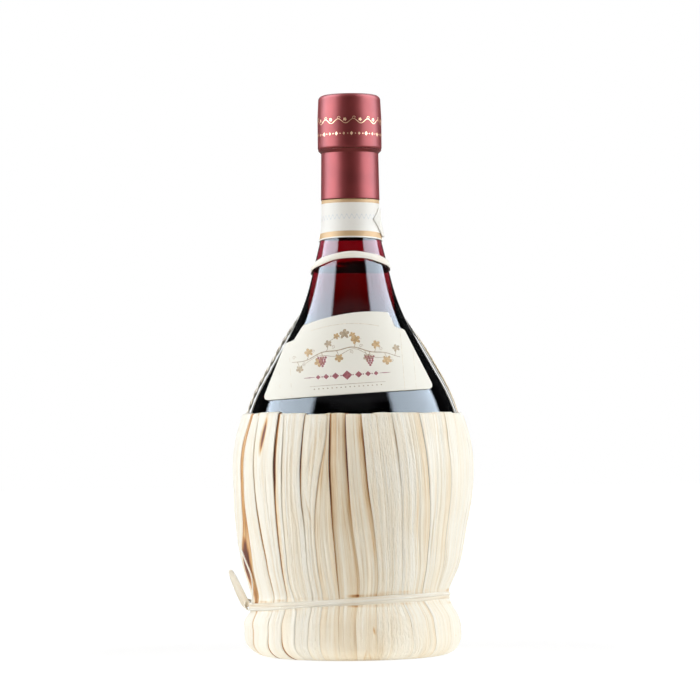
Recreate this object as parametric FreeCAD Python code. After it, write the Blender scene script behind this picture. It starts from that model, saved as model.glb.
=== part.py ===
"""Straw-covered wine flask (fiasco): glass flask, wine, cork, capsule, seal, label, ties and straw jacket.

Millimetres, +Z up. The origin is on the table under the middle of the foot, and the label faces -Y.
Profiles are drawn as (radius, height) points, and each bend of a profile is a tangent arc.
"""

import FreeCAD
import Part

import math
import os

# Glass flask
FLASK_HEIGHT = 244.3
GLASS_WALL = 3.4
BULB_RADIUS = 50.9
BULB_CURVE = 77.0
FLARE_RADIUS = 21.8
FLARE_CURVE = 96.0
NECK_RADIUS = 13.4
NECK_CURVE = 58.0
NECK_TOP_RADIUS = 13.0
BASE_RADIUS = 39.8
BASE_CORNER = 23.0
PUNT_RADIUS = 16.3
PUNT_FLAT_RADIUS = 6.7
PUNT_DEPTH = 5.8
PUNT_CURVE = 6.0
RING_HEIGHT = 23.5
RING_RADIUS = 14.5
RING_TOP_RADIUS = 14.0
RING_TAPER = 8.6
RING_EDGE = 1.5
RING_STEP = 3.0
STEP_CURVE = 1.2
BORE_RADIUS = 9.25
BORE_LENGTH = 48.0
MOUTH_EDGE = 0.8

# Wine and cork
WINE_CLEARANCE = 0.2
CORK_LENGTH = 44.0
CORK_CLEARANCE = 0.05
CORK_SINK = 0.5
CORK_CHAMFER = 0.6

# Capsule, seal and label
CAPSULE_WALL = 0.5
CAPSULE_CLEARANCE = 0.2
CAPSULE_LIP = 3.8
DISC_THICKNESS = 0.4
DISC_CLEARANCE = 0.1
CUT_GAP = 0.2
PAPER_CLEARANCE = 0.2
PAPER_THICKNESS = 0.25
SEAL_GAP = 0.2
LABEL_RIM_GAP = 7.6
LABEL_SHIFT = -2.4
LABEL_TILT = 4.0
LABEL_SHOULDER_RISE = 25.9
LABEL_STEP_RISE = 28.3
LABEL_TOP_RISE = 33.6
LABEL_ARCH = 3.1
LABEL_CORNER = 2.9

# Straw jacket: strips folded over a hoop at the rim and turned in under a padded foot ring
STRAW_THICKNESS = 0.7
STRAW_CLEARANCE = 0.3
STRIP_COUNT = 40
STRIP_WIDTH_SHARES = (1.0, 1.25, 0.8, 1.1, 0.9, 1.3, 0.75, 0.9)
STRIP_GAP = 0.6
HOOP_DIAMETER = 1.2
JACKET_STANDOFF = 4.9
JACKET_SAG = 1.9
JACKET_CURVE = 67.0
KNEE_STANDOFF = 4.2
KNEE_HEIGHT = 28.6
KNEE_CURVE = 38.0
WAIST_STANDOFF = 1.1
WAIST_HEIGHT = 23.4
WAIST_CURVE = 6.7
WAIST_TILT_RIGHT = 2.3
WAIST_TILT_FRONT = 3.0
FOOT_STANDOFF = 10.2
FOOT_TUCK = 22.2
FOOT_DROP = 7.6
FOOT_CURVE = 7.7
PAD_RADIUS = 8.5

# Ties: waist winding with its tail and hitch, neck loop and shoulder cords
TIE_DIAMETER = 1.5
TIE_TURNS = 2
TIE_PITCH = 2.15
TIE_END_ANGLE = 172.0
TAIL_REACH = 4.3
TAIL_RISE = 4.0
TAIL_LENGTH = 12.5
TAIL_SPREAD = 13.3
TAIL_FORWARD = 8.0
HITCH_WALL = 0.9
HITCH_LENGTH = 3.5
LOOP_DIAMETER = 2.1
LOOP_FRONT_RISE = 3.3
LOOP_SAG = 0.9
LOOP_START_ANGLE = 50.0
LOOP_SWEEP = 410.0
LOOP_PITCH = 2.8
CORD_DIAMETER = 1.9

# Heights on the flask, from its bottom, as shares of its height
TAPER_TOP_SHARE = 0.2358
BULB_CORNER_SHARE = 0.3933
FLARE_SHARE = 0.6038
NECK_SHARE = 0.7504

# Places and bends as shares of the runs that hold them
TAPER_BEND_SHARE = 0.603
WINE_LEVEL_SHARE = 0.376
SLEEVE_SHARE = 0.554
SEAL_SHARE = 0.473
INNER_LEG_SHARE = 0.7
JACKET_TAPER_SHARE = 0.764
JACKET_BEND_SHARE = 0.97
LOOP_SHARE = 0.55
LABEL_ARCH_SHARE = 0.73

# The label's half widths as shares of the bulb's radius
LABEL_LOW_SHARE = 0.7407
LABEL_SHOULDER_SHARE = 0.5422
LABEL_STEP_SHARE = 0.4401
LABEL_TOP_SHARE = 0.3733

# Room for cutting tools to run past what they cut, and the distance under which two points are one
OVERRUN = 5.0
SAME_SPOT = 1e-6

QUARTER_TURN = 90.0
FULL_TURN = 360.0
GAP_SAMPLES = 24

AXIS = FreeCAD.Vector(0, 0, 1)
ORIGIN = FreeCAD.Vector(0, 0, 0)
TIE_RADIUS = TIE_DIAMETER / 2
LOOP_RADIUS = LOOP_DIAMETER / 2
CORD_RADIUS = CORD_DIAMETER / 2
HOOP_RADIUS = HOOP_DIAMETER / 2
FOOT_RADIUS = BASE_RADIUS + FOOT_STANDOFF
FOOT_INNER_RADIUS = FOOT_RADIUS - FOOT_TUCK


# Plane geometry of profiles

def tangent(degrees):
    return math.tan(math.radians(degrees))


def sine(degrees):
    return math.sin(math.radians(degrees))


def cosine(degrees):
    return math.cos(math.radians(degrees))


def spot(point):
    """A profile point as a vector in the XZ plane."""
    return FreeCAD.Vector(point[0], 0, point[1])


def direction(a, b):
    length = math.hypot(b[0] - a[0], b[1] - a[1])
    return ((b[0] - a[0]) / length, (b[1] - a[1]) / length)


def turn(before, after):
    """Sine of the turn from one direction to the next, positive to the left."""
    return before[0] * after[1] - before[1] * after[0]


def bend(a, corner, b, radius):
    """Start, centre and end of the arc that rounds a corner."""
    back, ahead = direction(corner, a), direction(corner, b)
    half = math.acos(back[0] * ahead[0] + back[1] * ahead[1]) / 2
    reach = radius / math.tan(half)
    start = (corner[0] + back[0] * reach, corner[1] + back[1] * reach)
    end = (corner[0] + ahead[0] * reach, corner[1] + ahead[1] * reach)
    middle = direction((0, 0), (back[0] + ahead[0], back[1] + ahead[1]))
    far = radius / math.sin(half)
    centre = (corner[0] + middle[0] * far, corner[1] + middle[1] * far)
    return start, centre, end


def moved_right(points, radii, distance):
    """The same path, moved to its right by a distance, with every bend kept concentric."""
    shifted, rounds = [], []
    last = len(points) - 1
    for i, point in enumerate(points):
        before = direction(points[i - 1], point) if i else direction(point, points[1])
        after = direction(point, points[i + 1]) if i < last else before
        along = direction((0, 0), (before[0] + after[0], before[1] + after[1]))
        stretch = distance / (along[0] * after[0] + along[1] * after[1])
        shifted.append((point[0] + along[1] * stretch, point[1] - along[0] * stretch))
        side = 1 if turn(before, after) > 0 else -1
        rounds.append(radii[i] + side * distance if radii[i] else 0)
    return shifted, rounds


def on_line(a, b, height):
    """The point of a straight run at a height."""
    share = (height - a[1]) / (b[1] - a[1])
    return (a[0] + share * (b[0] - a[0]), height)


def line(a, b):
    return Part.LineSegment(spot(a), spot(b)).toShape()


def arc(centre, radius, start_degrees, end_degrees):
    """An arc in the XZ plane, with angles counted from the outward direction."""
    def at(degrees):
        return spot((centre[0] + radius * cosine(degrees), centre[1] + radius * sine(degrees)))
    return Part.Arc(at(start_degrees), at((start_degrees + end_degrees) / 2), at(end_degrees)).toShape()


def rounded(points, radii):
    """Edges of an open path whose corners are rounded by tangent arcs."""
    edges = []
    here = points[0]
    for i in range(1, len(points) - 1):
        if not radii[i]:
            edges.append(line(here, points[i]))
            here = points[i]
            continue
        start, centre, end = bend(points[i - 1], points[i], points[i + 1], radii[i])
        outward = direction(centre, points[i])
        peak = (centre[0] + outward[0] * radii[i], centre[1] + outward[1] * radii[i])
        if math.dist(here, start) > SAME_SPOT:
            edges.append(line(here, start))
        edges.append(Part.Arc(spot(start), spot(peak), spot(end)).toShape())
        here = end
    edges.append(line(here, points[-1]))
    return edges


def spun(edges, start_degrees=0, sweep_degrees=FULL_TURN):
    """The solid that a closed profile sweeps about the vertical axis."""
    face = Part.Face(Part.Wire(Part.__sortEdges__(edges)))
    solid = face.revolve(ORIGIN, AXIS, sweep_degrees)
    solid.rotate(ORIGIN, AXIS, start_degrees)
    return solid


def closed(points, radii):
    """Edges of a closed profile that starts and ends on its first point's straight run."""
    return rounded(points + [points[0]], list(radii) + [0])


# Layout that several pieces share: heights are from the flask's bottom, angles from the vertical

def slope(across, up):
    return math.degrees(math.atan2(across, up))


def bend_radius(reach, degrees):
    """Radius of the arc that starts at a reach before a corner of so many degrees."""
    return reach / tangent(degrees / 2)


TAPER_TOP = FLASK_HEIGHT * TAPER_TOP_SHARE
BULB_CORNER = FLASK_HEIGHT * BULB_CORNER_SHARE
FLARE_HEIGHT = FLASK_HEIGHT * FLARE_SHARE
NECK_HEIGHT = FLASK_HEIGHT * NECK_SHARE
STEP_HEIGHT = FLASK_HEIGHT - RING_HEIGHT - RING_STEP
SHOULDER_ANGLE = slope(BULB_RADIUS - FLARE_RADIUS, FLARE_HEIGHT - BULB_CORNER)
NECK_ANGLE = slope(FLARE_RADIUS - NECK_RADIUS, NECK_HEIGHT - FLARE_HEIGHT)
BULB_MIDDLE = BULB_CORNER - BULB_CURVE * tangent(SHOULDER_ANGLE / 2)
TAPER_ANGLE = slope(BULB_RADIUS - BASE_RADIUS, TAPER_TOP)
TAPER_CURVE = bend_radius(TAPER_BEND_SHARE * (BULB_MIDDLE - TAPER_TOP), TAPER_ANGLE)
BORE_LOW = FLASK_HEIGHT - BORE_LENGTH
WINE_LEVEL = NECK_HEIGHT + WINE_LEVEL_SHARE * (BORE_LOW - NECK_HEIGHT)
SLEEVE_LENGTH = RING_STEP + SLEEVE_SHARE * (STEP_HEIGHT - NECK_HEIGHT)
SEAL_WIDTH = SEAL_SHARE * (STEP_HEIGHT - NECK_HEIGHT)
LOOP_HEIGHT = FLARE_HEIGHT + LOOP_SHARE * (NECK_HEIGHT - FLARE_HEIGHT)
LABEL_LOW_HALF = BULB_RADIUS * LABEL_LOW_SHARE
LABEL_SHOULDER_HALF = BULB_RADIUS * LABEL_SHOULDER_SHARE
LABEL_STEP_HALF = BULB_RADIUS * LABEL_STEP_SHARE
LABEL_TOP_HALF = BULB_RADIUS * LABEL_TOP_SHARE
LABEL_ARCH_CURVE = bend_radius(LABEL_ARCH_SHARE * LABEL_TOP_HALF, 2 * slope(LABEL_ARCH, LABEL_TOP_HALF))
JACKET_RADIUS = BULB_RADIUS + JACKET_STANDOFF
JACKET_MIDDLE = BULB_MIDDLE - JACKET_SAG
JACKET_TAPER_TOP = KNEE_HEIGHT + JACKET_TAPER_SHARE * (JACKET_MIDDLE - KNEE_HEIGHT)
KNEE_RADIUS = BASE_RADIUS + KNEE_HEIGHT * tangent(TAPER_ANGLE) + KNEE_STANDOFF
JACKET_ANGLE = slope(JACKET_RADIUS - KNEE_RADIUS, JACKET_TAPER_TOP - KNEE_HEIGHT)
JACKET_TAPER_CURVE = bend_radius(JACKET_BEND_SHARE * (JACKET_MIDDLE - JACKET_TAPER_TOP), JACKET_ANGLE)


def raised(points, height):
    return [(r, z + height) for r, z in points]


def flask_outline():
    """The flask's outside from the middle of its base up to the ring's step, and the bends' radii."""
    points = [
        (0, PUNT_DEPTH),
        (PUNT_FLAT_RADIUS, PUNT_DEPTH),
        (PUNT_RADIUS, 0),
        (BASE_RADIUS, 0),
        (BULB_RADIUS, TAPER_TOP),
        (BULB_RADIUS, BULB_CORNER),
        (FLARE_RADIUS, FLARE_HEIGHT),
        (NECK_RADIUS, NECK_HEIGHT),
        (NECK_TOP_RADIUS, STEP_HEIGHT),
    ]
    radii = [0, PUNT_CURVE, PUNT_CURVE, BASE_CORNER, TAPER_CURVE, BULB_CURVE, FLARE_CURVE, NECK_CURVE, 0]
    return points, radii


def ring_outline():
    """The finish ring's outside, from the foot of its step to the mouth's top face."""
    low = FLASK_HEIGHT - RING_HEIGHT
    points = [
        (NECK_TOP_RADIUS, low - RING_STEP),
        (RING_RADIUS, low),
        (RING_RADIUS, FLASK_HEIGHT - RING_TAPER),
        (RING_TOP_RADIUS, FLASK_HEIGHT),
    ]
    radii = [STEP_CURVE, STEP_CURVE, 0, RING_EDGE]
    return points, radii


PAD_MIDDLE_RADIUS = FOOT_RADIUS - STRAW_THICKNESS - STRAW_CLEARANCE - PAD_RADIUS
PAD_MIDDLE_HEIGHT = STRAW_THICKNESS + STRAW_CLEARANCE + PAD_RADIUS


def seat_height():
    """Height of the flask's bottom when its base corner rests on the foot ring."""
    points, _ = flask_outline()
    base = points.index((BASE_RADIUS, 0))
    _, corner, _ = bend(points[base - 1], points[base], points[base + 1], BASE_CORNER)
    reach = BASE_CORNER + PAD_RADIUS + STRAW_CLEARANCE
    across = PAD_MIDDLE_RADIUS - corner[0]
    return PAD_MIDDLE_HEIGHT + math.sqrt(reach ** 2 - across ** 2) - corner[1]


SEAT = seat_height()
WAIST_RADIUS = BASE_RADIUS + (WAIST_HEIGHT - SEAT) * tangent(TAPER_ANGLE) + WAIST_STANDOFF
TAIL_LEAN = TAIL_SPREAD + slope(KNEE_RADIUS - WAIST_RADIUS, SEAT + KNEE_HEIGHT - WAIST_HEIGHT)
FLASK_POINTS, FLASK_RADII = flask_outline()
FLASK_POINTS = raised(FLASK_POINTS, SEAT)
RING_POINTS, RING_RADII = ring_outline()
RING_POINTS = raised(RING_POINTS, SEAT)
MOUTH = SEAT + FLASK_HEIGHT
RING_LOW = MOUTH - RING_HEIGHT
SLEEVE_LOW = RING_LOW - SLEEVE_LENGTH
SEAL_TOP = SLEEVE_LOW - SEAL_GAP
BULB_CENTRE = (BULB_RADIUS - BULB_CURVE, SEAT + BULB_MIDDLE)
INNER_LEG = STRAW_CLEARANCE + STRAW_THICKNESS / 2
FOLD_RADIUS = HOOP_RADIUS + STRAW_CLEARANCE + STRAW_THICKNESS / 2
INNER_ARC = BULB_CURVE + INNER_LEG
OUTER_ARC = JACKET_CURVE - STRAW_THICKNESS / 2
JACKET_CENTRE = (JACKET_RADIUS - JACKET_CURVE, SEAT + JACKET_MIDDLE)


def hoop_centre():
    """The spot whose fold is tangent to both legs of a strip, where the jacket closes on the glass."""
    near, far = INNER_ARC + FOLD_RADIUS, OUTER_ARC - FOLD_RADIUS
    across = direction(BULB_CENTRE, JACKET_CENTRE)
    apart = math.dist(BULB_CENTRE, JACKET_CENTRE)
    along = (near ** 2 - far ** 2 + apart ** 2) / (2 * apart)
    aside = math.sqrt(near ** 2 - along ** 2)
    return (
        BULB_CENTRE[0] + across[0] * along - across[1] * aside,
        BULB_CENTRE[1] + across[1] * along + across[0] * aside,
    )


def angle_from(centre, point):
    return math.degrees(math.atan2(point[1] - centre[1], point[0] - centre[0]))


HOOP_CENTRE = hoop_centre()
RIM_TOP = HOOP_CENTRE[1] + FOLD_RADIUS + STRAW_THICKNESS / 2
LABEL_LOW = RIM_TOP + LABEL_RIM_GAP
INNER_RIM_ANGLE = angle_from(BULB_CENTRE, HOOP_CENTRE)
OUTER_RIM_ANGLE = angle_from(JACKET_CENTRE, HOOP_CENTRE)


def waist_height(degrees):
    """Height of the jacket's waist at an angle round the flask: the tie sits askew."""
    right = WAIST_RADIUS * cosine(degrees) * tangent(WAIST_TILT_RIGHT)
    front = -WAIST_RADIUS * sine(degrees) * tangent(WAIST_TILT_FRONT)
    return WAIST_HEIGHT + right + front


def skin(clearance, thickness, low, high):
    """A thin shell that follows the flask's outside between two heights."""
    inner, inner_radii = moved_right(FLASK_POINTS[4:], FLASK_RADII[4:], clearance)
    outer, outer_radii = moved_right(FLASK_POINTS[4:], FLASK_RADII[4:], clearance + thickness)
    edges = rounded(inner, inner_radii) + rounded(outer, outer_radii)
    edges += [line(inner[0], outer[0]), line(inner[-1], outer[-1])]
    reach = BULB_RADIUS + clearance + thickness + OVERRUN
    slab = Part.makeCylinder(reach, high - low, FreeCAD.Vector(0, 0, low))
    return spun(edges).common(slab)


# Glass, wine and cork

def inner_outline(clearance=0):
    """The flask's inside from the middle of its base up to the neck."""
    points, radii = moved_right(FLASK_POINTS, FLASK_RADII, -GLASS_WALL - clearance)
    return points[:-1], radii[:-1]


def glass_flask():
    inner, inner_radii = inner_outline()
    points = FLASK_POINTS[:-1] + RING_POINTS
    radii = FLASK_RADII[:-1] + RING_RADII
    points += [(BORE_RADIUS, MOUTH), (BORE_RADIUS, SEAT + BORE_LOW)] + inner[::-1]
    radii += [MOUTH_EDGE, 0] + inner_radii[::-1]
    return spun(closed(points, radii))


def wine():
    inner, inner_radii = inner_outline(WINE_CLEARANCE)
    level = SEAT + WINE_LEVEL
    surface = on_line(inner[-1], (BORE_RADIUS - WINE_CLEARANCE, SEAT + BORE_LOW), level)
    return spun(closed(inner + [surface, (0, level)], inner_radii + [0, 0]))


def cork():
    radius = BORE_RADIUS - CORK_CLEARANCE
    top = MOUTH - CORK_SINK
    low = top - CORK_LENGTH
    points = [
        (0, low),
        (radius - CORK_CHAMFER, low),
        (radius, low + CORK_CHAMFER),
        (radius, top - CORK_CHAMFER),
        (radius - CORK_CHAMFER, top),
        (0, top),
    ]
    return spun(closed(points, [0] * len(points)))


# Capsule, seal and label

LIP_LOW = MOUTH + DISC_CLEARANCE + DISC_THICKNESS + DISC_CLEARANCE
LIP_INNER_RADIUS = RING_TOP_RADIUS - CAPSULE_LIP
CAPSULE_TOP = LIP_LOW + CAPSULE_WALL


def capsule_head():
    """The part of the capsule above the cut line: a sleeve over the ring with its top edge turned in."""
    low = RING_LOW + CUT_GAP / 2
    inner, outer = RING_RADIUS + CAPSULE_CLEARANCE, RING_RADIUS + CAPSULE_CLEARANCE + CAPSULE_WALL
    taper = MOUTH - RING_TAPER
    slim = RING_RADIUS - RING_TOP_RADIUS
    points = [
        (inner, low),
        (outer, low),
        (outer, taper),
        (outer - slim, CAPSULE_TOP),
        (LIP_INNER_RADIUS, CAPSULE_TOP),
        (LIP_INNER_RADIUS, LIP_LOW),
        (inner - slim, LIP_LOW),
        (inner, taper),
    ]
    radii = [0, 0, 0, RING_EDGE + CAPSULE_WALL, 0, 0, RING_EDGE, 0]
    return spun(closed(points, radii))


def capsule_top_disc():
    """The disc that lies on the mouth, under the capsule's turned-in edge."""
    radius = RING_TOP_RADIUS - RING_EDGE
    low = MOUTH + DISC_CLEARANCE
    return Part.makeCylinder(radius, DISC_THICKNESS, FreeCAD.Vector(0, 0, low))


def sleeve_side(offset):
    """One face of the sleeve: up the neck and out along the ring's step, taken out by an offset."""
    route = [FLASK_POINTS[-2], RING_POINTS[0], RING_POINTS[1]]
    (neck, step, ring), radii = moved_right(route, [0, STEP_CURVE, 0], offset)
    return [on_line(neck, step, SLEEVE_LOW), step, on_line(step, ring, RING_LOW - CUT_GAP / 2)], radii


def capsule_sleeve():
    """The part of the capsule below the cut line, shrunk on to the step and the neck."""
    near, near_radii = sleeve_side(CAPSULE_CLEARANCE)
    far, far_radii = sleeve_side(CAPSULE_CLEARANCE + CAPSULE_WALL)
    edges = rounded(near, near_radii) + rounded(far, far_radii)
    return spun(edges + [line(near[0], far[0]), line(near[-1], far[-1])])


def neck_seal_strip():
    """The paper band round the neck under the capsule."""
    return skin(PAPER_CLEARANCE, PAPER_THICKNESS, SEAL_TOP - SEAL_WIDTH, SEAL_TOP)


def label_outline():
    """The label's die-cut outline as a wire in the XZ plane, askew: its lines rise to the right."""
    right = [
        (LABEL_LOW_HALF, 0),
        (LABEL_SHOULDER_HALF, LABEL_SHOULDER_RISE),
        (LABEL_STEP_HALF, LABEL_STEP_RISE),
        (LABEL_TOP_HALF, LABEL_TOP_RISE),
        (0, LABEL_TOP_RISE + LABEL_ARCH),
    ]
    left = [(-x, z) for x, z in right[-2::-1]]
    rounds = [LABEL_CORNER, LABEL_CORNER, 0, LABEL_CORNER]
    points = [(x, z + x * tangent(LABEL_TILT)) for x, z in [(0, 0)] + right + left]
    radii = [0] + rounds + [LABEL_ARCH_CURVE] + rounds[::-1]
    return Part.Wire(Part.__sortEdges__(closed(points, radii)))


def front_label():
    """The paper label: the flask's shoulder skin inside the label's outline, seen from the front."""
    reach = BULB_RADIUS + OVERRUN
    cutter = Part.Face(label_outline()).extrude(FreeCAD.Vector(0, -reach, 0))
    cutter.translate(FreeCAD.Vector(LABEL_SHIFT, 0, LABEL_LOW))
    rise = LABEL_LOW_HALF * tangent(LABEL_TILT)
    low = LABEL_LOW - rise - OVERRUN
    high = LABEL_LOW + LABEL_TOP_RISE + LABEL_ARCH + rise + OVERRUN
    return skin(PAPER_CLEARANCE, PAPER_THICKNESS, low, high).common(cutter)


# Straw jacket

def outer_leg(degrees):
    """Centre line of a strip's outer leg, from under the foot up to the start of the belly's arc."""
    half = STRAW_THICKNESS / 2
    waist = waist_height(degrees)
    points = [
        (FOOT_INNER_RADIUS, half),
        (FOOT_RADIUS - half, half),
        (FOOT_RADIUS - half, waist - FOOT_DROP),
        (WAIST_RADIUS, waist),
        (KNEE_RADIUS - half, SEAT + KNEE_HEIGHT),
        (JACKET_RADIUS - half, SEAT + JACKET_TAPER_TOP),
        (JACKET_RADIUS - half, SEAT + JACKET_MIDDLE),
    ]
    round_pad = PAD_RADIUS + STRAW_CLEARANCE + half
    radii = [0, round_pad, FOOT_CURVE, WAIST_CURVE, KNEE_CURVE, JACKET_TAPER_CURVE, 0]
    return points, radii


def inner_leg():
    """Centre line of a strip's inner leg, on the glass, up to the start of the belly's arc."""
    points, radii = moved_right(FLASK_POINTS[3:6], FLASK_RADII[3:6], INNER_LEG)
    low = on_line(points[0], points[1], SEAT + INNER_LEG_SHARE * TAPER_TOP)
    return [low, points[1], (BULB_RADIUS + INNER_LEG, BULB_CENTRE[1])], [0, radii[1], 0]


def leg_side(leg, belly, side):
    """One face of a leg, up to the fold: its edges and its free end."""
    points, radii = leg
    centre, radius, rim_angle = belly
    path, rounds = moved_right(points, radii, side)
    return rounded(path, rounds) + [arc(centre, radius + side, 0, rim_angle)], path[0]


def fold(radius):
    """A half circle over the hoop, from the outer leg to the inner one."""
    return arc(HOOP_CENTRE, radius, OUTER_RIM_ANGLE, INNER_RIM_ANGLE + FULL_TURN / 2)


def straw_strip(start_degrees, sweep_degrees):
    """One strip of straw, folded over the hoop, drawn in at the waist and turned in under the foot."""
    half = STRAW_THICKNESS / 2
    outer = outer_leg(start_degrees + sweep_degrees / 2)
    outer_belly = (JACKET_CENTRE, OUTER_ARC, OUTER_RIM_ANGLE)
    inner = inner_leg()
    inner_belly = (BULB_CENTRE, INNER_ARC, INNER_RIM_ANGLE)
    front, front_end = leg_side(outer, outer_belly, half)
    behind, behind_end = leg_side(outer, outer_belly, -half)
    lining, lining_end = leg_side(inner, inner_belly, half)
    backing, backing_end = leg_side(inner, inner_belly, -half)
    edges = front + behind + lining + backing
    edges += [fold(FOLD_RADIUS + half), fold(FOLD_RADIUS - half)]
    edges += [line(front_end, behind_end), line(lining_end, backing_end)]
    return spun(edges, start_degrees, sweep_degrees)


def straw_strips():
    """All strips by name, side by side round the flask, with widths that vary in a repeating order."""
    shares = [STRIP_WIDTH_SHARES[i % len(STRIP_WIDTH_SHARES)] for i in range(STRIP_COUNT)]
    gap = math.degrees(STRIP_GAP / BULB_RADIUS)
    strips, start = {}, 0
    for i, share in enumerate(shares):
        pitch = FULL_TURN * share / sum(shares)
        strips[f"straw_strip_{i + 1:02d}"] = straw_strip(start + gap / 2, pitch - gap)
        start += pitch
    return strips


def rim_hoop():
    return Part.makeTorus(HOOP_CENTRE[0], HOOP_RADIUS, FreeCAD.Vector(0, 0, HOOP_CENTRE[1]))


def foot_ring():
    return Part.makeTorus(PAD_MIDDLE_RADIUS, PAD_RADIUS, FreeCAD.Vector(0, 0, PAD_MIDDLE_HEIGHT))


# Ties

def half_arc(start, control, end):
    """The arc from start to end whose end tangents meet at control."""
    chord = end - start
    weight = (control - start).dot(chord) / ((control - start).Length * chord.Length)
    peak = (start + control * (2 * weight) + end) * (1 / (2 + 2 * weight))
    return Part.Arc(start, peak, end).toShape()


def biarc(start, start_way, end, end_way):
    """Two tangent arcs from one point and direction to another."""
    chord = end - start
    ways = start_way + end_way
    spread = 2 * (1 - start_way.dot(end_way))
    along = chord.dot(ways)
    reach = (math.sqrt(along ** 2 + spread * chord.dot(chord)) - along) / spread
    first, second = start + start_way * reach, end - end_way * reach
    middle = (first + second) * 0.5
    return [half_arc(start, first, middle), half_arc(middle, second, end)]


def tube(edges, radius):
    """A round tube along a chain of edges."""
    path = Part.Wire(edges)
    start = edges[0].valueAt(edges[0].FirstParameter)
    way = edges[0].tangentAt(edges[0].FirstParameter)
    ring = Part.Wire(Part.makeCircle(radius, start, way))
    return path.makePipeShell([ring], True, False)


def least_gap(edges, diameter, span):
    """The least gap of a tube to itself, between points more than a span apart along it."""
    spots, run = [], 0
    for edge in edges:
        points = edge.discretize(GAP_SAMPLES)
        spots += [(run + edge.Length * i / len(points), point) for i, point in enumerate(points)]
        run += edge.Length
    return min((p - q).Length - diameter for s, p in spots for t, q in spots if t - s > span)


def winding(place, start_degrees, sweep_degrees):
    """Arcs of a winding, about a quarter turn at a time, whose place is a function of its angle."""
    count = math.ceil(sweep_degrees / QUARTER_TURN)
    step = sweep_degrees / count
    nudge = step / 1000

    def way(degrees):
        ahead = place(degrees + nudge) - place(degrees - nudge)
        return ahead.normalize()

    edges = []
    for i in range(count):
        a = start_degrees + i * step
        edges += biarc(place(a), way(a), place(a + step), way(a + step))
    return edges, way


def polar(radius, degrees, height):
    return FreeCAD.Vector(radius * cosine(degrees), radius * sine(degrees), height)


def straight(start, way, length):
    return Part.LineSegment(start, start + way * length).toShape()


def waist_groove(degrees):
    """Radius and height of the bottom of the straw's waist at an angle round the flask."""
    points, radii = outer_leg(degrees)
    waist = radii.index(WAIST_CURVE)
    _, centre, _ = bend(points[waist - 1], points[waist], points[waist + 1], WAIST_CURVE)
    return centre[0] - WAIST_CURVE + STRAW_THICKNESS / 2, centre[1]


def tail_way():
    """Direction of the tie's free tail: up, leaning out to the left and a little to the front."""
    way = FreeCAD.Vector(-tangent(TAIL_LEAN), -tangent(TAIL_FORWARD), 1)
    return way.normalize()


def waist_tie():
    """The winding round the waist, one unbroken strand that ends in a free tail, and the tail's root."""
    clear = STRAW_CLEARANCE + TIE_RADIUS
    bed = WAIST_CURVE - STRAW_THICKNESS / 2 - clear
    sweep = TIE_TURNS * FULL_TURN
    start = TIE_END_ANGLE - sweep

    def place(degrees):
        radius, height = waist_groove(degrees)
        climb = TIE_PITCH * ((degrees - start) / FULL_TURN - TIE_TURNS / 2)
        rise = bed - math.sqrt(bed ** 2 - climb ** 2)
        return polar(radius + clear + rise, degrees, height + climb)

    edges, way = winding(place, start, sweep)
    first, last = place(start), place(start + sweep)
    lead = straight(first - way(start) * TIE_DIAMETER, way(start), TIE_DIAMETER)
    root = last + way(start + sweep) * TAIL_REACH + tail_way() * TAIL_RISE
    leave = biarc(last, way(start + sweep), root, tail_way())
    tail = straight(root, tail_way(), TAIL_LENGTH)
    chain = [lead] + edges + leave + [tail]
    gap = least_gap(chain, TIE_DIAMETER, math.pi * WAIST_RADIUS)
    print(f"waist tie: {TIE_TURNS} turns, least gap to itself {gap:.2f} mm")
    return tube(chain, TIE_RADIUS), root


def tie_hitch(root):
    """The short wrap that locks the tie round the root of its tail."""
    inner = TIE_RADIUS + STRAW_CLEARANCE
    outer = Part.makeCylinder(inner + HITCH_WALL, HITCH_LENGTH, root, tail_way())
    return outer.cut(Part.makeCylinder(inner, HITCH_LENGTH, root, tail_way()))


def neck_cone(height, offset):
    """Radius of the neck's flare at a height, taken out by an offset."""
    points, _ = moved_right(FLASK_POINTS[5:], FLASK_RADII[5:], offset)
    return on_line(points[1], points[2], height)[0]


def loop_height(degrees):
    """Height of the neck loop: high in front, drawn down at the sides by the shoulder cords."""
    climb = LOOP_PITCH * (degrees - LOOP_START_ANGLE) / FULL_TURN - LOOP_PITCH / 2
    return SEAT + LOOP_HEIGHT + climb - LOOP_FRONT_RISE * sine(degrees) - LOOP_SAG * cosine(2 * degrees)


def neck_loop():
    """One strand round the neck, with its two ends lying side by side at the back."""
    def place(degrees):
        height = loop_height(degrees)
        return polar(neck_cone(height, LOOP_RADIUS + STRAW_CLEARANCE), degrees, height)

    start, finish = LOOP_START_ANGLE, LOOP_START_ANGLE + LOOP_SWEEP
    edges, way = winding(place, start, LOOP_SWEEP)
    lead = straight(place(start) - way(start) * LOOP_DIAMETER, way(start), LOOP_DIAMETER)
    out = straight(place(finish), way(finish), LOOP_DIAMETER)
    chain = [lead] + edges + [out]
    gap = least_gap(chain, LOOP_DIAMETER, math.pi * NECK_RADIUS)
    print(f"neck loop: least gap to itself {gap:.2f} mm")
    return tube(chain, LOOP_RADIUS)


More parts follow.
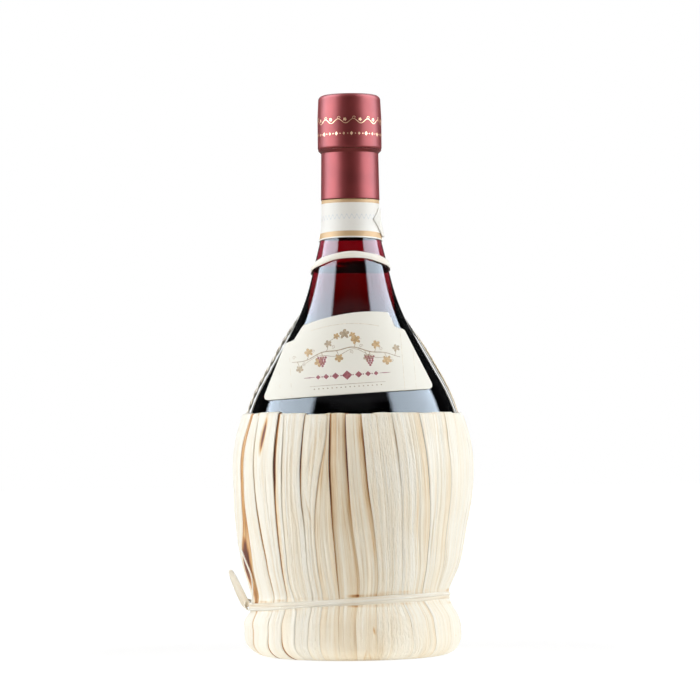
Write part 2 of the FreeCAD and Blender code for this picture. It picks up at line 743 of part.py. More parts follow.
def shoulder_cord(degrees):
    """A cord that lies on the flask's shoulder, from the neck loop down to the rim of the straw."""
    offset = CORD_RADIUS + STRAW_CLEARANCE
    points, radii = moved_right(FLASK_POINTS[4:8], FLASK_RADII[4:8], offset)
    loop = min(loop_height(degrees + k * FULL_TURN) for k in range(2))
    high = loop - LOOP_RADIUS - STRAW_CLEARANCE - CORD_RADIUS * sine(NECK_ANGLE)
    top = (neck_cone(high, offset), high)
    fold_reach = FOLD_RADIUS + STRAW_THICKNESS / 2 + STRAW_CLEARANCE
    arc_radius = BULB_CURVE + offset
    low_angle = INNER_RIM_ANGLE + math.degrees(fold_reach / arc_radius)
    edges = [arc(BULB_CENTRE, arc_radius, low_angle, SHOULDER_ANGLE)]
    _, _, arc_end = bend(points[0], points[1], points[2], arc_radius)
    edges += rounded([arc_end, points[2], top], [0, radii[2], 0])
    cord = tube(edges, CORD_RADIUS)
    length = sum(edge.Length for edge in edges)
    share = cord.Volume / (math.pi * CORD_RADIUS ** 2 * length)
    print(f"shoulder cord at {degrees:.0f} degrees: {length:.1f} mm, volume ratio {share:.4f}")
    cord.rotate(ORIGIN, AXIS, degrees)
    return cord


def build():
    """Every piece by its node name."""
    tie, tail_root = waist_tie()
    pieces = {
        "glass_flask": glass_flask(),
        "wine": wine(),
        "cork": cork(),
        "capsule_head": capsule_head(),
        "capsule_top_disc": capsule_top_disc(),
        "capsule_sleeve": capsule_sleeve(),
        "neck_seal_strip": neck_seal_strip(),
        "front_label": front_label(),
        "rim_hoop": rim_hoop(),
        "foot_ring": foot_ring(),
        "waist_tie": tie,
        "tie_hitch": tie_hitch(tail_root),
        "neck_loop": neck_loop(),
        "shoulder_cord_right": shoulder_cord(0),
        "shoulder_cord_left": shoulder_cord(FULL_TURN / 2),
    }
    pieces.update(straw_strips())
    return pieces


def main():
    os.makedirs("parts", exist_ok=True)
    pieces = build()
    for name, shape in pieces.items():
        shape.exportStep(os.path.join("parts", name + ".step"))
    print(f"{len(pieces)} nodes, seat {SEAT:.2f} mm, top {CAPSULE_TOP:.2f} mm")
    print(f"wine {pieces['wine'].Volume / 1e6:.3f} litres")


main()
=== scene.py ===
"""Looks of a straw-covered wine flask (fiasco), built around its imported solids. Lengths are in mm until add_object."""

import math
import random

import bpy
import numpy as np
from mathutils import Matrix, Vector


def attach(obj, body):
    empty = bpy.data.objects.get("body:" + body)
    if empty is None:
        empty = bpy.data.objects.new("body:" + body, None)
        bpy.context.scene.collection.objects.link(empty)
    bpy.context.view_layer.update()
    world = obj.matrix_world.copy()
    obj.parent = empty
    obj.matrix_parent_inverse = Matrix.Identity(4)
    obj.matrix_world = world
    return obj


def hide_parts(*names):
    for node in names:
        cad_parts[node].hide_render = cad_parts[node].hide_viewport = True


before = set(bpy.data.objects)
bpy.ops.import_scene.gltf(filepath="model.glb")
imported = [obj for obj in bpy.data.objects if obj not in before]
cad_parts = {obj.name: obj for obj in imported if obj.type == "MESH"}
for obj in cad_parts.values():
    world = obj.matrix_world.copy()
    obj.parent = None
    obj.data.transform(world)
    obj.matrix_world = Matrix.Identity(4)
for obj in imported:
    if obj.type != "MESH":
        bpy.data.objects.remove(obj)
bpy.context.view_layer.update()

MM = 0.001
TAU = 2 * math.pi
TINY = 1e-6
STRAIGHT = 1e-4
rng = random.Random(7)

# The flask's outside: radius, height and bend, from the middle of the base to the mouth
MOUTH, MOUTH_RADIUS, MOUTH_BEND = 255.77, 13.6, 1.5
FLASK = [
    (0, 17.27, 0), (6.7, 17.27, 6), (16.3, 11.47, 6), (39.8, 11.47, 23), (50.9, 69.08, 115), (50.9, 107.55, 77),
    (21.8, 158.98, 96), (13.05, 194.79, 58), (12.5, 231.0, 0.9), (14.05, 232.5, 0.9), (14.05, 247.17, 0),
    (MOUTH_RADIUS, MOUTH, MOUTH_BEND),
]
OUTSIDE_STEP = 2.0
UPPER_LOW = 80
LIP_LOW, LIP_RADIUS, LIP_JOIN = 254.0, 13.65, 254.2
GLASS_WALL = 3.4
BORE_RADIUS, BORE_LOW, BORE_BEND, BORE_LIP, BORE_STEP = 9.25, 207.77, 30, 0.8, 1.0
WINE_LEVEL, WINE_GAP = 199.67, 0.06
NECK_JOIN = 191.0
FLASK_SEGMENTS = 160
GLASS_IOR, WINE_IOR = 1.5, 1.34


# Plane geometry

def unit(vectors):
    return vectors / np.maximum(np.linalg.norm(vectors, axis=-1, keepdims=True), 1e-9)


def run_along(points):
    """Lengths along a path from its first point."""
    return np.concatenate(([0], np.cumsum(np.linalg.norm(np.diff(points, axis=0), axis=1))))


def polar(r, theta, z):
    return (r * math.cos(theta), r * math.sin(theta), z)


def bend(a, corner, b, radius, count):
    """Points of the arc that rounds a corner of a path."""
    a, corner, b = (np.array(p, float) for p in (a, corner, b))
    back, ahead = unit(a - corner), unit(b - corner)
    half = math.acos(max(-1, min(1, float(back @ ahead)))) / 2
    if radius <= 0 or half > math.pi / 2 - STRAIGHT:
        return [corner] * count
    reach = radius / math.tan(half)
    centre = corner + unit(back + ahead) * radius / math.sin(half)
    first, last = corner + back * reach - centre, corner + ahead * reach - centre
    start = math.atan2(first[1], first[0])
    swing = (math.atan2(last[1], last[0]) - start + math.pi) % TAU - math.pi
    turns = [start + swing * i / (count - 1) for i in range(count)]
    return [centre + radius * np.array((math.cos(t), math.sin(t))) for t in turns]


def rounded(corners, count=9):
    """A path of (r, z, bend) corners as an array of points."""
    points = [corners[0][:2]]
    for before, here, after in zip(corners, corners[1:], corners[2:]):
        points += bend(before[:2], here[:2], after[:2], here[2], count if here[2] else 1)
    return np.array(points + [corners[-1][:2]], float)


def refined(points, step):
    """The same path with no run longer than a step."""
    out = [points[0]]
    for a, b in zip(points, points[1:]):
        n = max(1, math.ceil(np.linalg.norm(b - a) / step))
        out += [a + (b - a) * i / n for i in range(1, n + 1)]
    return np.array(out)


def normals_of(points):
    """Unit normals on the right of a path."""
    ways = unit(np.gradient(points, axis=0))
    return np.column_stack((ways[:, 1], -ways[:, 0]))


def offset_path(points, distance):
    return points + normals_of(points) * distance


def cut(path, low, high):
    """The part of a rising path between two heights."""
    ends = [(float(np.interp(z, path[:, 1], path[:, 0])), z) for z in (low, high)]
    return np.vstack((ends[:1], path[(path[:, 1] > low) & (path[:, 1] < high)], ends[1:]))


OUTSIDE = refined(rounded(FLASK), OUTSIDE_STEP)
UPPER = OUTSIDE[OUTSIDE[:, 1] > UPPER_LOW]


def outside_between(low, high, step=0.5):
    return refined(OUTSIDE[(OUTSIDE[:, 1] > low) & (OUTSIDE[:, 1] < high)], step)


def glass_radius(z):
    """Radius of the flask's outside at a height above its widest part."""
    return float(np.interp(z, UPPER[:, 1], UPPER[:, 0]))


def smooth(x):
    x = np.clip(x, 0.0, 1.0)
    return x * x * (3 - 2 * x)


# Objects

def add_object(name, verts, faces, materials, smooth_shade=True, face_materials=None, uvs=None, tones=None):
    """A mesh object in metres from vertices in millimetres, with face-corner UVs and vertex tones where given."""
    mesh = bpy.data.meshes.new(name)
    mesh.from_pydata([tuple(float(c) * MM for c in v) for v in verts], [], faces)
    for material in materials:
        mesh.materials.append(material)
    if face_materials is not None:
        mesh.polygons.foreach_set("material_index", face_materials)
    mesh.polygons.foreach_set("use_smooth", [smooth_shade] * len(mesh.polygons))
    if uvs is not None:
        loops = np.array([c for face in uvs for uv in face for c in uv], dtype=np.float32)
        mesh.uv_layers.new(name="fibre").data.foreach_set("uv", loops)
    if tones is not None:
        layer = mesh.color_attributes.new(name="tone", type="FLOAT_COLOR", domain="POINT")
        layer.data.foreach_set("color", np.array([(*t, 1.0) for t in tones], dtype=np.float32).ravel())
    mesh.validate()
    mesh.update()
    obj = bpy.data.objects.new(name, mesh)
    bpy.context.scene.collection.objects.link(obj)
    return obj


def place(obj, body, slot, *nodes):
    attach(obj, body)
    if nodes:
        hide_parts(*nodes)
    return obj


def lathe(name, profile, materials, segments=128, pick=None, shape=None):
    """A closed profile turned about the vertical axis; pick gives a run's material, shape moves a point by its turn."""
    verts, rings, faces, uvs, slots = [], [], [], [], []
    for r, z in profile:
        count = 1 if abs(r) < TINY else segments
        rings.append([len(verts) + k % count for k in range(segments + 1)])
        for k in range(count):
            turn = TAU * k / segments
            rr, zz = shape(r, z, turn) if shape else (r, z)
            verts.append(polar(rr, turn, zz))
    for i, ring in enumerate(rings):
        j = (i + 1) % len(rings)
        upper, v0, v1 = rings[j], profile[i][1], profile[j][1]
        if ring[0] == ring[1] and upper[0] == upper[1]:
            continue
        for k in range(segments):
            m, corners = k + 1, {}
            for vert, turn, v in ((ring[k], k, v0), (ring[m], m, v0), (upper[m], m, v1), (upper[k], k, v1)):
                corners.setdefault(vert, (turn / segments, v))
            faces.append(list(corners))
            uvs.append(list(corners.values()))
            slots.append(pick(i) if pick else 0)
    return add_object(name, verts, faces, materials, face_materials=slots, uvs=uvs)


STRAND_GIRTH = 4.0


def sweep(name, path, outward, section, tone):
    """A raffia strand: a section of (side, out) offsets carried along a path, with a tone along it."""
    path = np.array(path)
    ways, run, last = unit(np.gradient(path, axis=0)), run_along(path), len(path) - 1
    verts, faces, uvs, shades = [], [], [], []
    n = len(section(0.0))
    for i, (spot, way, out) in enumerate(zip(path, ways, np.array(outward))):
        side = unit(np.cross(way, out))
        up = np.cross(side, way)
        verts += [spot + side * a + up * b for a, b in section(i / last)]
        shades += [tone(i / last)] * n
    across = [k * STRAND_GIRTH / n for k in range(n + 1)]
    for i in range(last):
        for k in range(n):
            m = (k + 1) % n
            faces.append([i * n + k, i * n + m, (i + 1) * n + m, (i + 1) * n + k])
            uvs.append([(across[k + a], run[i + b]) for a, b in ((0, 0), (1, 0), (1, 1), (0, 1))])
    for i, way in ((0, -1), (last, 1)):
        faces.append([i * n + k for k in range(n)][::way])
        uvs.append([(u, run[i]) for u in across[:n]][::way])
    return add_object(name, verts, faces, [RAFFIA], uvs=uvs, tones=shades)


def solid_sheet(name, outer, inner, material, uv, tones):
    """A closed thin solid between two grids of points."""
    rows, cols = outer.shape[:2]
    count = rows * cols
    index = np.arange(count).reshape(rows, cols)
    a, b, c, d = (part.ravel() for part in (index[:-1, :-1], index[1:, :-1], index[1:, 1:], index[:-1, 1:]))
    faces = np.column_stack((a, b, c, d)).tolist() + (np.column_stack((d, c, b, a)) + count).tolist()
    rim = list(index[:, 0]) + list(index[-1, 1:]) + list(index[-2::-1, -1]) + list(index[0, -2:0:-1])
    for i, j in zip(rim, rim[1:] + rim[:1]):
        faces.append([int(i), int(i + count), int(j + count), int(j)])
    verts, flat, shades = (np.vstack((part.reshape(count, -1), other.reshape(count, -1)))
                           for part, other in ((outer, inner), (uv, uv), (tones, tones)))
    loops = [[tuple(flat[k]) for k in face] for face in faces]
    return add_object(name, verts, faces, [material], uvs=loops, tones=shades)


def paper_sheet(name, rows, cols, spot, material):
    """A thin sheet from a function of two shares that gives an outer point, an inner point and a UV."""
    outer, inner, uv = grids = [np.zeros((rows, cols, n)) for n in (3, 3, 2)]
    for i in range(rows):
        for j in range(cols):
            for grid, value in zip(grids, spot(i / (rows - 1), j / (cols - 1))):
                grid[i, j] = value
    return solid_sheet(name, outer, inner, material, uv, np.zeros((rows, cols, 3)))


# Materials

WHITE = (1.0, 1.0, 1.0, 1.0)


def linear(r, g, b):
    """A colour given as 0 to 255 on screen, in scene values."""
    def channel(c):
        c /= 255
        return c / 12.92 if c <= 0.04045 else ((c + 0.055) / 1.055) ** 2.4
    return (channel(r), channel(g), channel(b), 1.0)


class Nodes:
    """A node tree, and short ways to fill it."""

    def __init__(self, owner):
        owner.use_nodes = True
        self.tree = owner.node_tree
        self.tree.nodes.clear()

    def put(self, socket, value):
        if isinstance(value, bpy.types.NodeSocket):
            self.tree.links.new(value, socket)
        else:
            socket.default_value = value

    def add(self, kind, *values, **settings):
        node = self.tree.nodes.new("ShaderNode" + kind)
        for key, value in settings.items():
            setattr(node, key, value)
        for socket, value in zip(node.inputs, values):
            self.put(socket, value)
        return node

    def math(self, op, a, b=0.0, c=0.0, clamp=False):
        return self.add("Math", a, b, c, operation=op, use_clamp=clamp).outputs[0]

    def scaled(self, a, b):
        return self.math("MULTIPLY", a, b)

    def plus(self, a, b):
        return self.math("ADD", a, b)

    def split(self, vector):
        return list(self.add("SeparateXYZ", vector).outputs)

    def fit(self, value, a, b, c=0.0, d=1.0, kind="SMOOTHSTEP"):
        return self.add("MapRange", value, a, b, c, d, interpolation_type=kind, clamp=True).outputs[0]

    def mix(self, share, a, b):
        node = self.add("Mix", data_type="RGBA")
        for index, value in ((0, share), (6, a), (7, b)):
            self.put(node.inputs[index], value)
        return node.outputs[2]


class Shader(Nodes):
    """A material around one Principled shader."""

    def __init__(self, name):
        self.material = bpy.data.materials.new(name)
        super().__init__(self.material)
        self.bsdf = self.add("BsdfPrincipled")
        self.out = self.add("OutputMaterial", self.bsdf.outputs[0])

    def set(self, **values):
        for key, value in values.items():
            self.put(self.bsdf.inputs[key.replace("_", " ")], value)

    def uv(self):
        return self.split(self.add("UVMap", uv_map="fibre").outputs[0])[:2]

    def spot(self):
        return self.add("TexCoord").outputs["Object"]

    def noise(self, scale, detail=2.0, roughness=0.5, vector=None):
        node = self.add("TexNoise", self.spot() if vector is None else vector)
        for key, value in (("Scale", scale), ("Detail", detail), ("Roughness", roughness)):
            node.inputs[key].default_value = value
        return node.outputs["Fac"]

    def ramp(self, value, stops):
        node = self.add("ValToRGB", value)
        while len(node.color_ramp.elements) < len(stops):
            node.color_ramp.elements.new(0.5)
        for element, (at, colour) in zip(node.color_ramp.elements, stops):
            element.position = at
            element.color = colour
        return node.outputs[0]

    def rough(self, grain, low, high):
        """Roughness between two levels by a noise."""
        self.set(Roughness=self.fit(grain, 0.3, 0.7, low, high, "LINEAR"))

    def bump(self, height, strength, distance):
        node = self.add("Bump")
        for key, value in (("Strength", strength), ("Distance", distance), ("Height", height)):
            self.put(node.inputs[key], value)
        self.set(Normal=node.outputs[0])


def glass_material(name, ior):
    s = Shader(name)
    s.set(Base_Color=(0.985, 0.995, 0.99, 1.0), Roughness=0.0, IOR=ior, Transmission_Weight=1.0)
    s.bump(s.noise(38.0, 1.0), 0.012, 0.002)
    return s.material


def wine_material():
    s = Shader("red_wine")
    s.set(Base_Color=WHITE, Roughness=0.0, IOR=1.0, Transmission_Weight=1.0)
    body = s.add("VolumeAbsorption", (0.736, 0.0, 0.197, 1.0), 330.0)
    s.put(s.out.inputs["Volume"], body.outputs[0])
    return s.material


def straw_material(name, stops, grain, gloss):
    """Dried leaf: streaks along the fibre, patches of tan, thin dark threads and a ribbed, crinkled surface.

    The tone attribute holds the shade, how crinkled the piece is, and a number that sets its streaks apart.
    """
    s = Shader(name)
    u, v = s.uv()
    tone = s.add("Attribute", attribute_name="tone").outputs["Color"]
    shade, crinkled, number = s.add("SeparateColor", tone).outputs
    offset = s.scaled(number, 90.0)

    def along(across, length, detail=3.0):
        vector = s.add("CombineXYZ", s.scaled(u, across * grain), s.scaled(v, length * grain), offset)
        return s.noise(1.0, detail, 0.6, vector.outputs[0])

    def centred(value, size):
        return s.math("MULTIPLY_ADD", value, size, -size / 2)

    fine, mid, broad, thread = along(2.2, 0.05), along(0.95, 0.012, 2.0), along(0.4, 0.008, 2.0), along(1.3, 0.02, 4.0)
    crinkle = along(1.5, 0.4)
    calm = s.fit(s.split(s.spot())[2], 0.014, 0.024, 0.5, 1.0)
    streak = s.plus(centred(fine, 0.4), s.plus(centred(mid, 0.5), centred(broad, 0.5)))
    dark = s.scaled(s.scaled(s.fit(thread, 0.6, 0.72), 0.22), calm)
    change = s.plus(s.scaled(streak, calm), centred(s.noise(42.0), 0.3))
    s.set(Base_Color=s.ramp(s.math("ADD", s.plus(shade, dark), change, clamp=True), stops), Specular_IOR_Level=0.3)
    s.rough(fine, gloss, gloss + 0.2)
    folds = s.scaled(crinkle, s.math("MULTIPLY_ADD", crinkled, 1.05, 0.15))
    ribs = s.math("SUBTRACT", s.plus(s.scaled(fine, 0.6), s.scaled(mid, 0.8)), s.scaled(dark, 1.6))
    s.bump(s.plus(ribs, folds), 0.75, 0.0007)
    return s.material


def paper_material(name, colour, warm):
    s = Shader(name)
    fibres, cloud = s.noise(900.0, 4.0, 0.7), s.noise(60.0)
    s.set(Base_Color=s.mix(s.plus(s.scaled(fibres, 0.35), s.scaled(cloud, 0.3)), colour, warm), Specular_IOR_Level=0.25)
    s.rough(fibres, 0.55, 0.72)
    s.bump(fibres, 0.12, 0.0002)
    return s


# Camera

CAMERA_DISTANCE = 1.37
EYE_HEIGHT = 0.103
PIXEL = 0.461 * MM
FRAME_PIXELS = 700
AXIS_PIXEL = 351.8
FLOOR_PIXEL = 653.9
ROLL = math.radians(0.6)
SENSOR = 36.0

camera_data = bpy.data.cameras.new("camera")
camera_data.sensor_width = SENSOR
camera_data.lens = SENSOR * CAMERA_DISTANCE / (FRAME_PIXELS * PIXEL)
camera_data.clip_start = 0.01
camera = bpy.data.objects.new("camera", camera_data)
bpy.context.scene.collection.objects.link(camera)
aim_x = (FRAME_PIXELS / 2 - AXIS_PIXEL) * PIXEL
camera.location = (aim_x, -CAMERA_DISTANCE, EYE_HEIGHT)
aim = Vector((aim_x, 0, (FLOOR_PIXEL - FRAME_PIXELS / 2) * PIXEL))
facing = (aim - camera.location).to_track_quat("-Z", "Y").to_matrix()
camera.rotation_euler = (facing @ Matrix.Rotation(-ROLL, 3, "Z")).to_euler()
bpy.context.scene.camera = camera
bpy.context.scene.view_settings.view_transform = "Standard"


# Floor, lamps and surroundings

LAMPS = [
    ("softbox_left", (-0.72, -0.22, 0.34), (0, 0, 0.12), (0.6, 0.9), 5.55),
    ("softbox_right", (0.72, -0.22, 0.34), (0, 0, 0.12), (0.6, 0.9), 5.55),
    ("top_fill", (0, -0.5, 0.9), (0, 0, 0.1), (0.6, 0.4), 0.75),
]
FLOOR_HALF = 4.0
FLOOR_SEEN, FLOOR_LIT = (0.3, 0.3, 0.3, 1), (0.95, 0.95, 0.93, 1)
FLOOR_GLOW = (0.12, 0.3, 0.83, 1.0)
# Glow of the floor near the flask for rays other than the camera's: a painted bounce light, the floor shining on the
# flask's underside like a lamp
FLOOR_PAINTED_BOUNCE = (0.06, 0.14, 0.25, 0.0)
SOFTBOX = (0.77, 0.90, 1.04)
SOFTBOX_LEVELS = (11.0, 10.2)
AMBIENT = 0.12
FRONT_GLOSS = (0.012, 0.16)
BACK_GLOSS = (0.9, 0.9, 0.9, 1)
CORNER_DARK = (0.02, 0.02, 0.02, 1)


def area_light(name, place_at, target, size, power):
    data = bpy.data.lights.new(name, "AREA")
    data.shape = "RECTANGLE"
    data.size, data.size_y = size
    data.energy = power
    lamp = bpy.data.objects.new(name, data)
    lamp.location = place_at
    lamp.rotation_euler = (Vector(target) - Vector(place_at)).to_track_quat("-Z", "Y").to_euler()
    lamp.visible_glossy = False
    lamp.visible_transmission = False
    bpy.context.scene.collection.objects.link(lamp)


def floor():
    """A white floor that keeps the flask's shadow near it and runs into the white surroundings. To rays other than the
    camera's it is paler and glows near the flask, a painted bounce light on the flask's underside.
    """
    side = FLOOR_HALF / MM
    material = bpy.data.materials.new("floor_white")
    corners = [(-side, -side, 0), (side, -side, 0), (side, side, 0), (-side, side, 0)]
    obj = add_object("floor", corners, [[0, 1, 2, 3]], [material])
    n = Nodes(material)
    away = n.add("VectorMath", n.add("TexCoord").outputs["Object"], operation="LENGTH").outputs["Value"]

    def glowing(colour, levels):
        glow = n.add("Emission", WHITE, n.fit(away, *levels, "LINEAR"))
        return n.add("AddShader", n.add("BsdfDiffuse", colour).outputs[0], glow.outputs[0]).outputs[0]

    path = n.add("LightPath").outputs
    seen = n.math("MAXIMUM", path["Is Camera Ray"], path["Is Transmission Ray"])
    # Camera and clear rays see the white floor; other rays see a paler floor that glows near the flask, a painted
    # bounce light
    pick = n.add("MixShader", seen, glowing(FLOOR_LIT, FLOOR_PAINTED_BOUNCE), glowing(FLOOR_SEEN, FLOOR_GLOW))
    n.add("OutputMaterial", pick.outputs[0])


def surroundings():
    """White to the eye; glossy rays meet two tall softboxes, and clear ones white walls with dark corners."""
    world = bpy.data.worlds.new("studio")
    bpy.context.scene.world = world
    world.cycles.sampling_method = "NONE"
    n = Nodes(world)
    x, y, z = n.split(n.add("TexCoord").outputs["Generated"])
    wide, deep = n.math("ABSOLUTE", x), n.math("ABSOLUTE", y)
    across = n.math("MAXIMUM", wide, 0.02)
    back, high = n.math("DIVIDE", y, across), n.math("DIVIDE", z, across)
    near = n.fit(n.math("SUBTRACT", back, n.scaled(high, 0.2)), -1.12, -0.80)
    far = n.fit(n.math("SUBTRACT", back, n.scaled(high, 0.5)), 0.45, 0.26)
    tall = n.scaled(n.fit(high, -0.45, -0.2), n.fit(high, 3.4, 2.6))
    box = n.scaled(n.scaled(near, far), tall)
    low, over = ((level, level, level * 1.1, 1) for level in FRONT_GLOSS)
    dim = n.mix(n.fit(y, 0.955, 0.985), n.mix(n.fit(z, 0.62, 0.70), low, over), BACK_GLOSS)
    left_box, right_box = (tuple(c * level for c in SOFTBOX) + (1.0,) for level in SOFTBOX_LEVELS)
    gloss = n.mix(box, dim, n.mix(n.fit(x, -0.1, 0.1), left_box, right_box))
    most = n.math("MAXIMUM", n.math("MAXIMUM", wide, deep), 0.001)
    corner = n.fit(n.math("DIVIDE", n.math("MINIMUM", wide, deep), most), 0.52, 0.66)
    path = n.add("LightPath").outputs
    colour = n.mix(path["Is Glossy Ray"], (AMBIENT, AMBIENT, AMBIENT, 1), gloss)
    colour = n.mix(path["Is Transmission Ray"], colour, n.mix(corner, WHITE, CORNER_DARK))
    colour = n.mix(path["Is Camera Ray"], colour, WHITE)
    n.add("OutputWorld", n.add("Background", colour).outputs[0])


for lamp in LAMPS:
    area_light(*lamp)
floor()
surroundings()


# Glass and wine

def flask():
    """Glass with a wet and a dry inside, and the wine, a hair's breadth off the glass."""
    inner = offset_path(OUTSIDE[OUTSIDE[:, 1] < NECK_JOIN], -GLASS_WALL)
    inner[0, 0] = 0.0
    inner = inner[inner[:, 0] >= 0]
    bore = rounded([
        (*inner[-1], 0), (BORE_RADIUS, BORE_LOW, BORE_BEND), (BORE_RADIUS, MOUTH, BORE_LIP),
        (MOUTH_RADIUS, MOUTH, 0),
    ])
    bore = refined(bore[:-1], BORE_STEP)[1:]
    level = (np.interp(WINE_LEVEL, bore[:20, 1], bore[:20, 0]), WINE_LEVEL)
    inside = np.vstack((inner, bore[bore[:, 1] < WINE_LEVEL], [level], bore[bore[:, 1] > WINE_LEVEL]))
    mouth = rounded([(LIP_RADIUS, LIP_LOW, 0), (MOUTH_RADIUS, MOUTH, MOUTH_BEND), (BORE_RADIUS, MOUTH, 0)])[1:-1]
    outside = OUTSIDE[OUTSIDE[:, 1] < LIP_JOIN]
    profile = np.vstack((outside, mouth, inside[::-1]))
    dry = len(outside) + len(mouth)
    glass = [glass_material("flask_glass", GLASS_IOR), glass_material("flask_glass_against_wine", GLASS_IOR / WINE_IOR)]
    wet = lambda i: int(i >= dry and profile[i][1] <= WINE_LEVEL)
    place(lathe("flask_glass", profile, glass, FLASK_SEGMENTS, wet), "bottle", "glass", "glass_flask")
    liquid = offset_path(inside[inside[:, 1] <= WINE_LEVEL], -WINE_GAP)
    liquid[0, 0] = 0.0
    liquid[-1, 1] = WINE_LEVEL
    liquid = np.vstack((liquid, [(0, WINE_LEVEL)]))
    place(lathe("flask_wine", liquid, [wine_material()], FLASK_SEGMENTS), "bottle", "wine", "wine")


flask()


# Straw

LEVELS = np.array((110.1, 98.6, 85.2, 71.9, 58.6, 45.2, 30.1, 22.1, 11.9, 4.3, 0.6))
HOOP, FOLD_RADIUS = (49.654, 109.334), 1.25
FOLD_START, FOLD_END = math.radians(196.23), math.radians(21.49)
LEAF_CENTRE, LEAF_RADIUS = (-26.1, 87.278), 77.65
LEAF_LOW, LEAF_HIGH = math.radians(-27.2), math.radians(16.23)
BELLY_CENTRE, BELLY_RADIUS = (-11.2, 85.378), 66.65
WAIST_LOW, WAIST_HIGH = 20.2, 27.8
WAIST_MIDDLE, WAIST_RIGHT, WAIST_FRONT = 24.0, 2.385, 2.91
LEAF_ROWS, FOLD_ROWS, OUTER_ROWS, UNDER_ROWS = 14, 12, 124, 22
STRAW_THICKNESS = 0.3
COLUMN_PITCH = 0.36
FRONT_TURN = 270
MARGIN_COLUMNS, MARGIN = 6, 1.1
LEAF_TONE = 0.7
LEAST_RADIUS = 20
# How much of its own form a blade keeps at a height, how steady its ripples are, and how much of its tone shows; the
# last pales the straw lower down, a painted light standing in for light from the floor
EASE_Z = (0, 2, 6, 16, 21, 26, 33, 45, 100, 108, 112)
EASE = (0.08, 0.1, 0.7, 0.7, 0.45, 0.45, 0.8, 1, 1, 0.8, 0.5)
FOLD_EASE = 0.4
STEADY_Z, STEADY = (3, 12, 16, 30, 38, 98, 108), (0, 0.6, 0.3, 0.3, 1, 1, 0)
PAINTED_PALE_Z, PAINTED_PALE = (4, 12, 20, 26, 45, 62), (0.6, 0.8, 0.8, 0.55, 0.72, 1)
# How far the jacket is pulled to the left and stands out at a height
SETTLE_Z = (0, 2, 6, 13, 18, 23, 28, 36, 45, 52, 60, 70, 80)
SETTLE_LEFT = (0, 0, 0.7, 0.9, 1.7, 2.2, 1.7, 1.4, 1.15, 1.15, 0.9, 0.4, 0)
SETTLE_OUT = (0, 0, 0.2, 0.1, 0.3, 1.0, 0.6, 0.5, 0.69, 0.69, 0.45, 0.25, 0)
RIPPLES = [(k, rng.uniform(38, 90), rng.uniform(0, TAU), rng.uniform(0, TAU), rng.uniform(0.05, 0.1))
           for k in (4, 6, 9, 11, 14, 17)]


def waist_at(theta):
    """Height of the straw's waist in a direction, for it sits a little askew."""
    return WAIST_MIDDLE + WAIST_RIGHT * np.cos(theta) - WAIST_FRONT * np.sin(theta)


def by_waist(theta, low, high):
    """What lies between the values for the lowest and the highest waist, in a direction."""
    share = (waist_at(theta) - WAIST_LOW) / (WAIST_HIGH - WAIST_LOW)
    return low * (1 - share) + high * share


def arc_points(centre, radius, start, end, count):
    turns = np.linspace(start, end, count)
    return np.column_stack((centre[0] + radius * np.cos(turns), centre[1] + radius * np.sin(turns)))


def jacket_line(waist):
    """Middle of the straw from the inner leaf's end, over the hoop, down the belly and in under the foot."""
    lift = (waist - WAIST_LOW) / (WAIST_HIGH - WAIST_LOW)
    leaf = arc_points(LEAF_CENTRE, LEAF_RADIUS, LEAF_LOW, LEAF_HIGH, LEAF_ROWS + 1)[:-1]
    fold = arc_points(HOOP, FOLD_RADIUS, FOLD_START, FOLD_END, FOLD_ROWS)
    belly = arc_points(BELLY_CENTRE, BELLY_RADIUS, FOLD_END, 0, 24)
    lower = rounded([
        (55.45, 85.378, 0), (55.45, 74.68, 115.1), (49.16, 40.07, 38), (43.2, waist, 4.6 + 2.0 * lift),
        (49.65, waist - 4.6 - 4.5 * lift, 4.2 + 3.0 * lift), (49.65, 0.35, 9.15), (27.8, 0.35, 0),
    ], 14)
    outer = np.vstack((belly, lower[1:]))
    run = run_along(outer)
    along = np.linspace(0, run[-1], OUTER_ROWS + 1)[1:]
    return np.vstack((leaf, fold, np.column_stack([np.interp(along, run, outer[:, k]) for k in (0, 1)])))


LINE_LOW, LINE_HIGH = jacket_line(WAIST_LOW), jacket_line(WAIST_HIGH)
OUT_LOW, OUT_HIGH = -normals_of(LINE_LOW), -normals_of(LINE_HIGH)
ROWS = len(LINE_LOW)
FOLD_ROW = LEAF_ROWS + FOLD_ROWS


def jacket(theta, offset):
    """Points at angles on the straw's middle surface, moved outward; an angle and offset for each row and column."""
    turns = theta[..., None]
    middle = by_waist(turns, LINE_LOW[:, None, :], LINE_HIGH[:, None, :])
    spot = middle + unit(by_waist(turns, OUT_LOW[:, None, :], OUT_HIGH[:, None, :])) * offset[..., None]
    return np.stack((spot[..., 0] * np.cos(theta), spot[..., 0] * np.sin(theta), spot[..., 1]), axis=2)


def settle(theta, heights):
    """How far the jacket stands off its turned shape: pulled to the left at the waist, and gently uneven."""
    z = heights[:, None]
    off = np.interp(z, SETTLE_Z, SETTLE_OUT) - np.interp(z, SETTLE_Z, SETTLE_LEFT) * np.cos(theta)
    steady = np.interp(z, STEADY_Z, STEADY)
    for waves_round, length, phase, turn, size in RIPPLES:
        off = off + steady * size * np.sin(waves_round * theta + turn) * np.sin(TAU * z / length + phase)
    off[:FOLD_ROW] = 0
    return off


def eased(values, reach=5):
    """A run of values with its kinks worn off."""
    window = np.ones(2 * reach + 1) / (2 * reach + 1)
    for _ in range(2):
        values = np.convolve(np.pad(values, reach, mode="edge"), window, mode="valid")
    return values


def down_rows(values, heights):
    """Values given at the levels, spread over the rows."""
    return eased(np.interp(heights, LEVELS[::-1], np.array(values, float)[::-1]))


def waves(count, low, high, seeded):
    """A few sines of random wavelength and phase as a function of a distance."""
    parts = [(seeded.uniform(low, high), seeded.uniform(0, TAU), seeded.uniform(0.5, 1.0)) for _ in range(count)]
    return lambda s: sum(w * np.sin(TAU * s / length + phase) for length, phase, w in parts) / count


def bell(x):
    return np.exp(-(x ** 2))


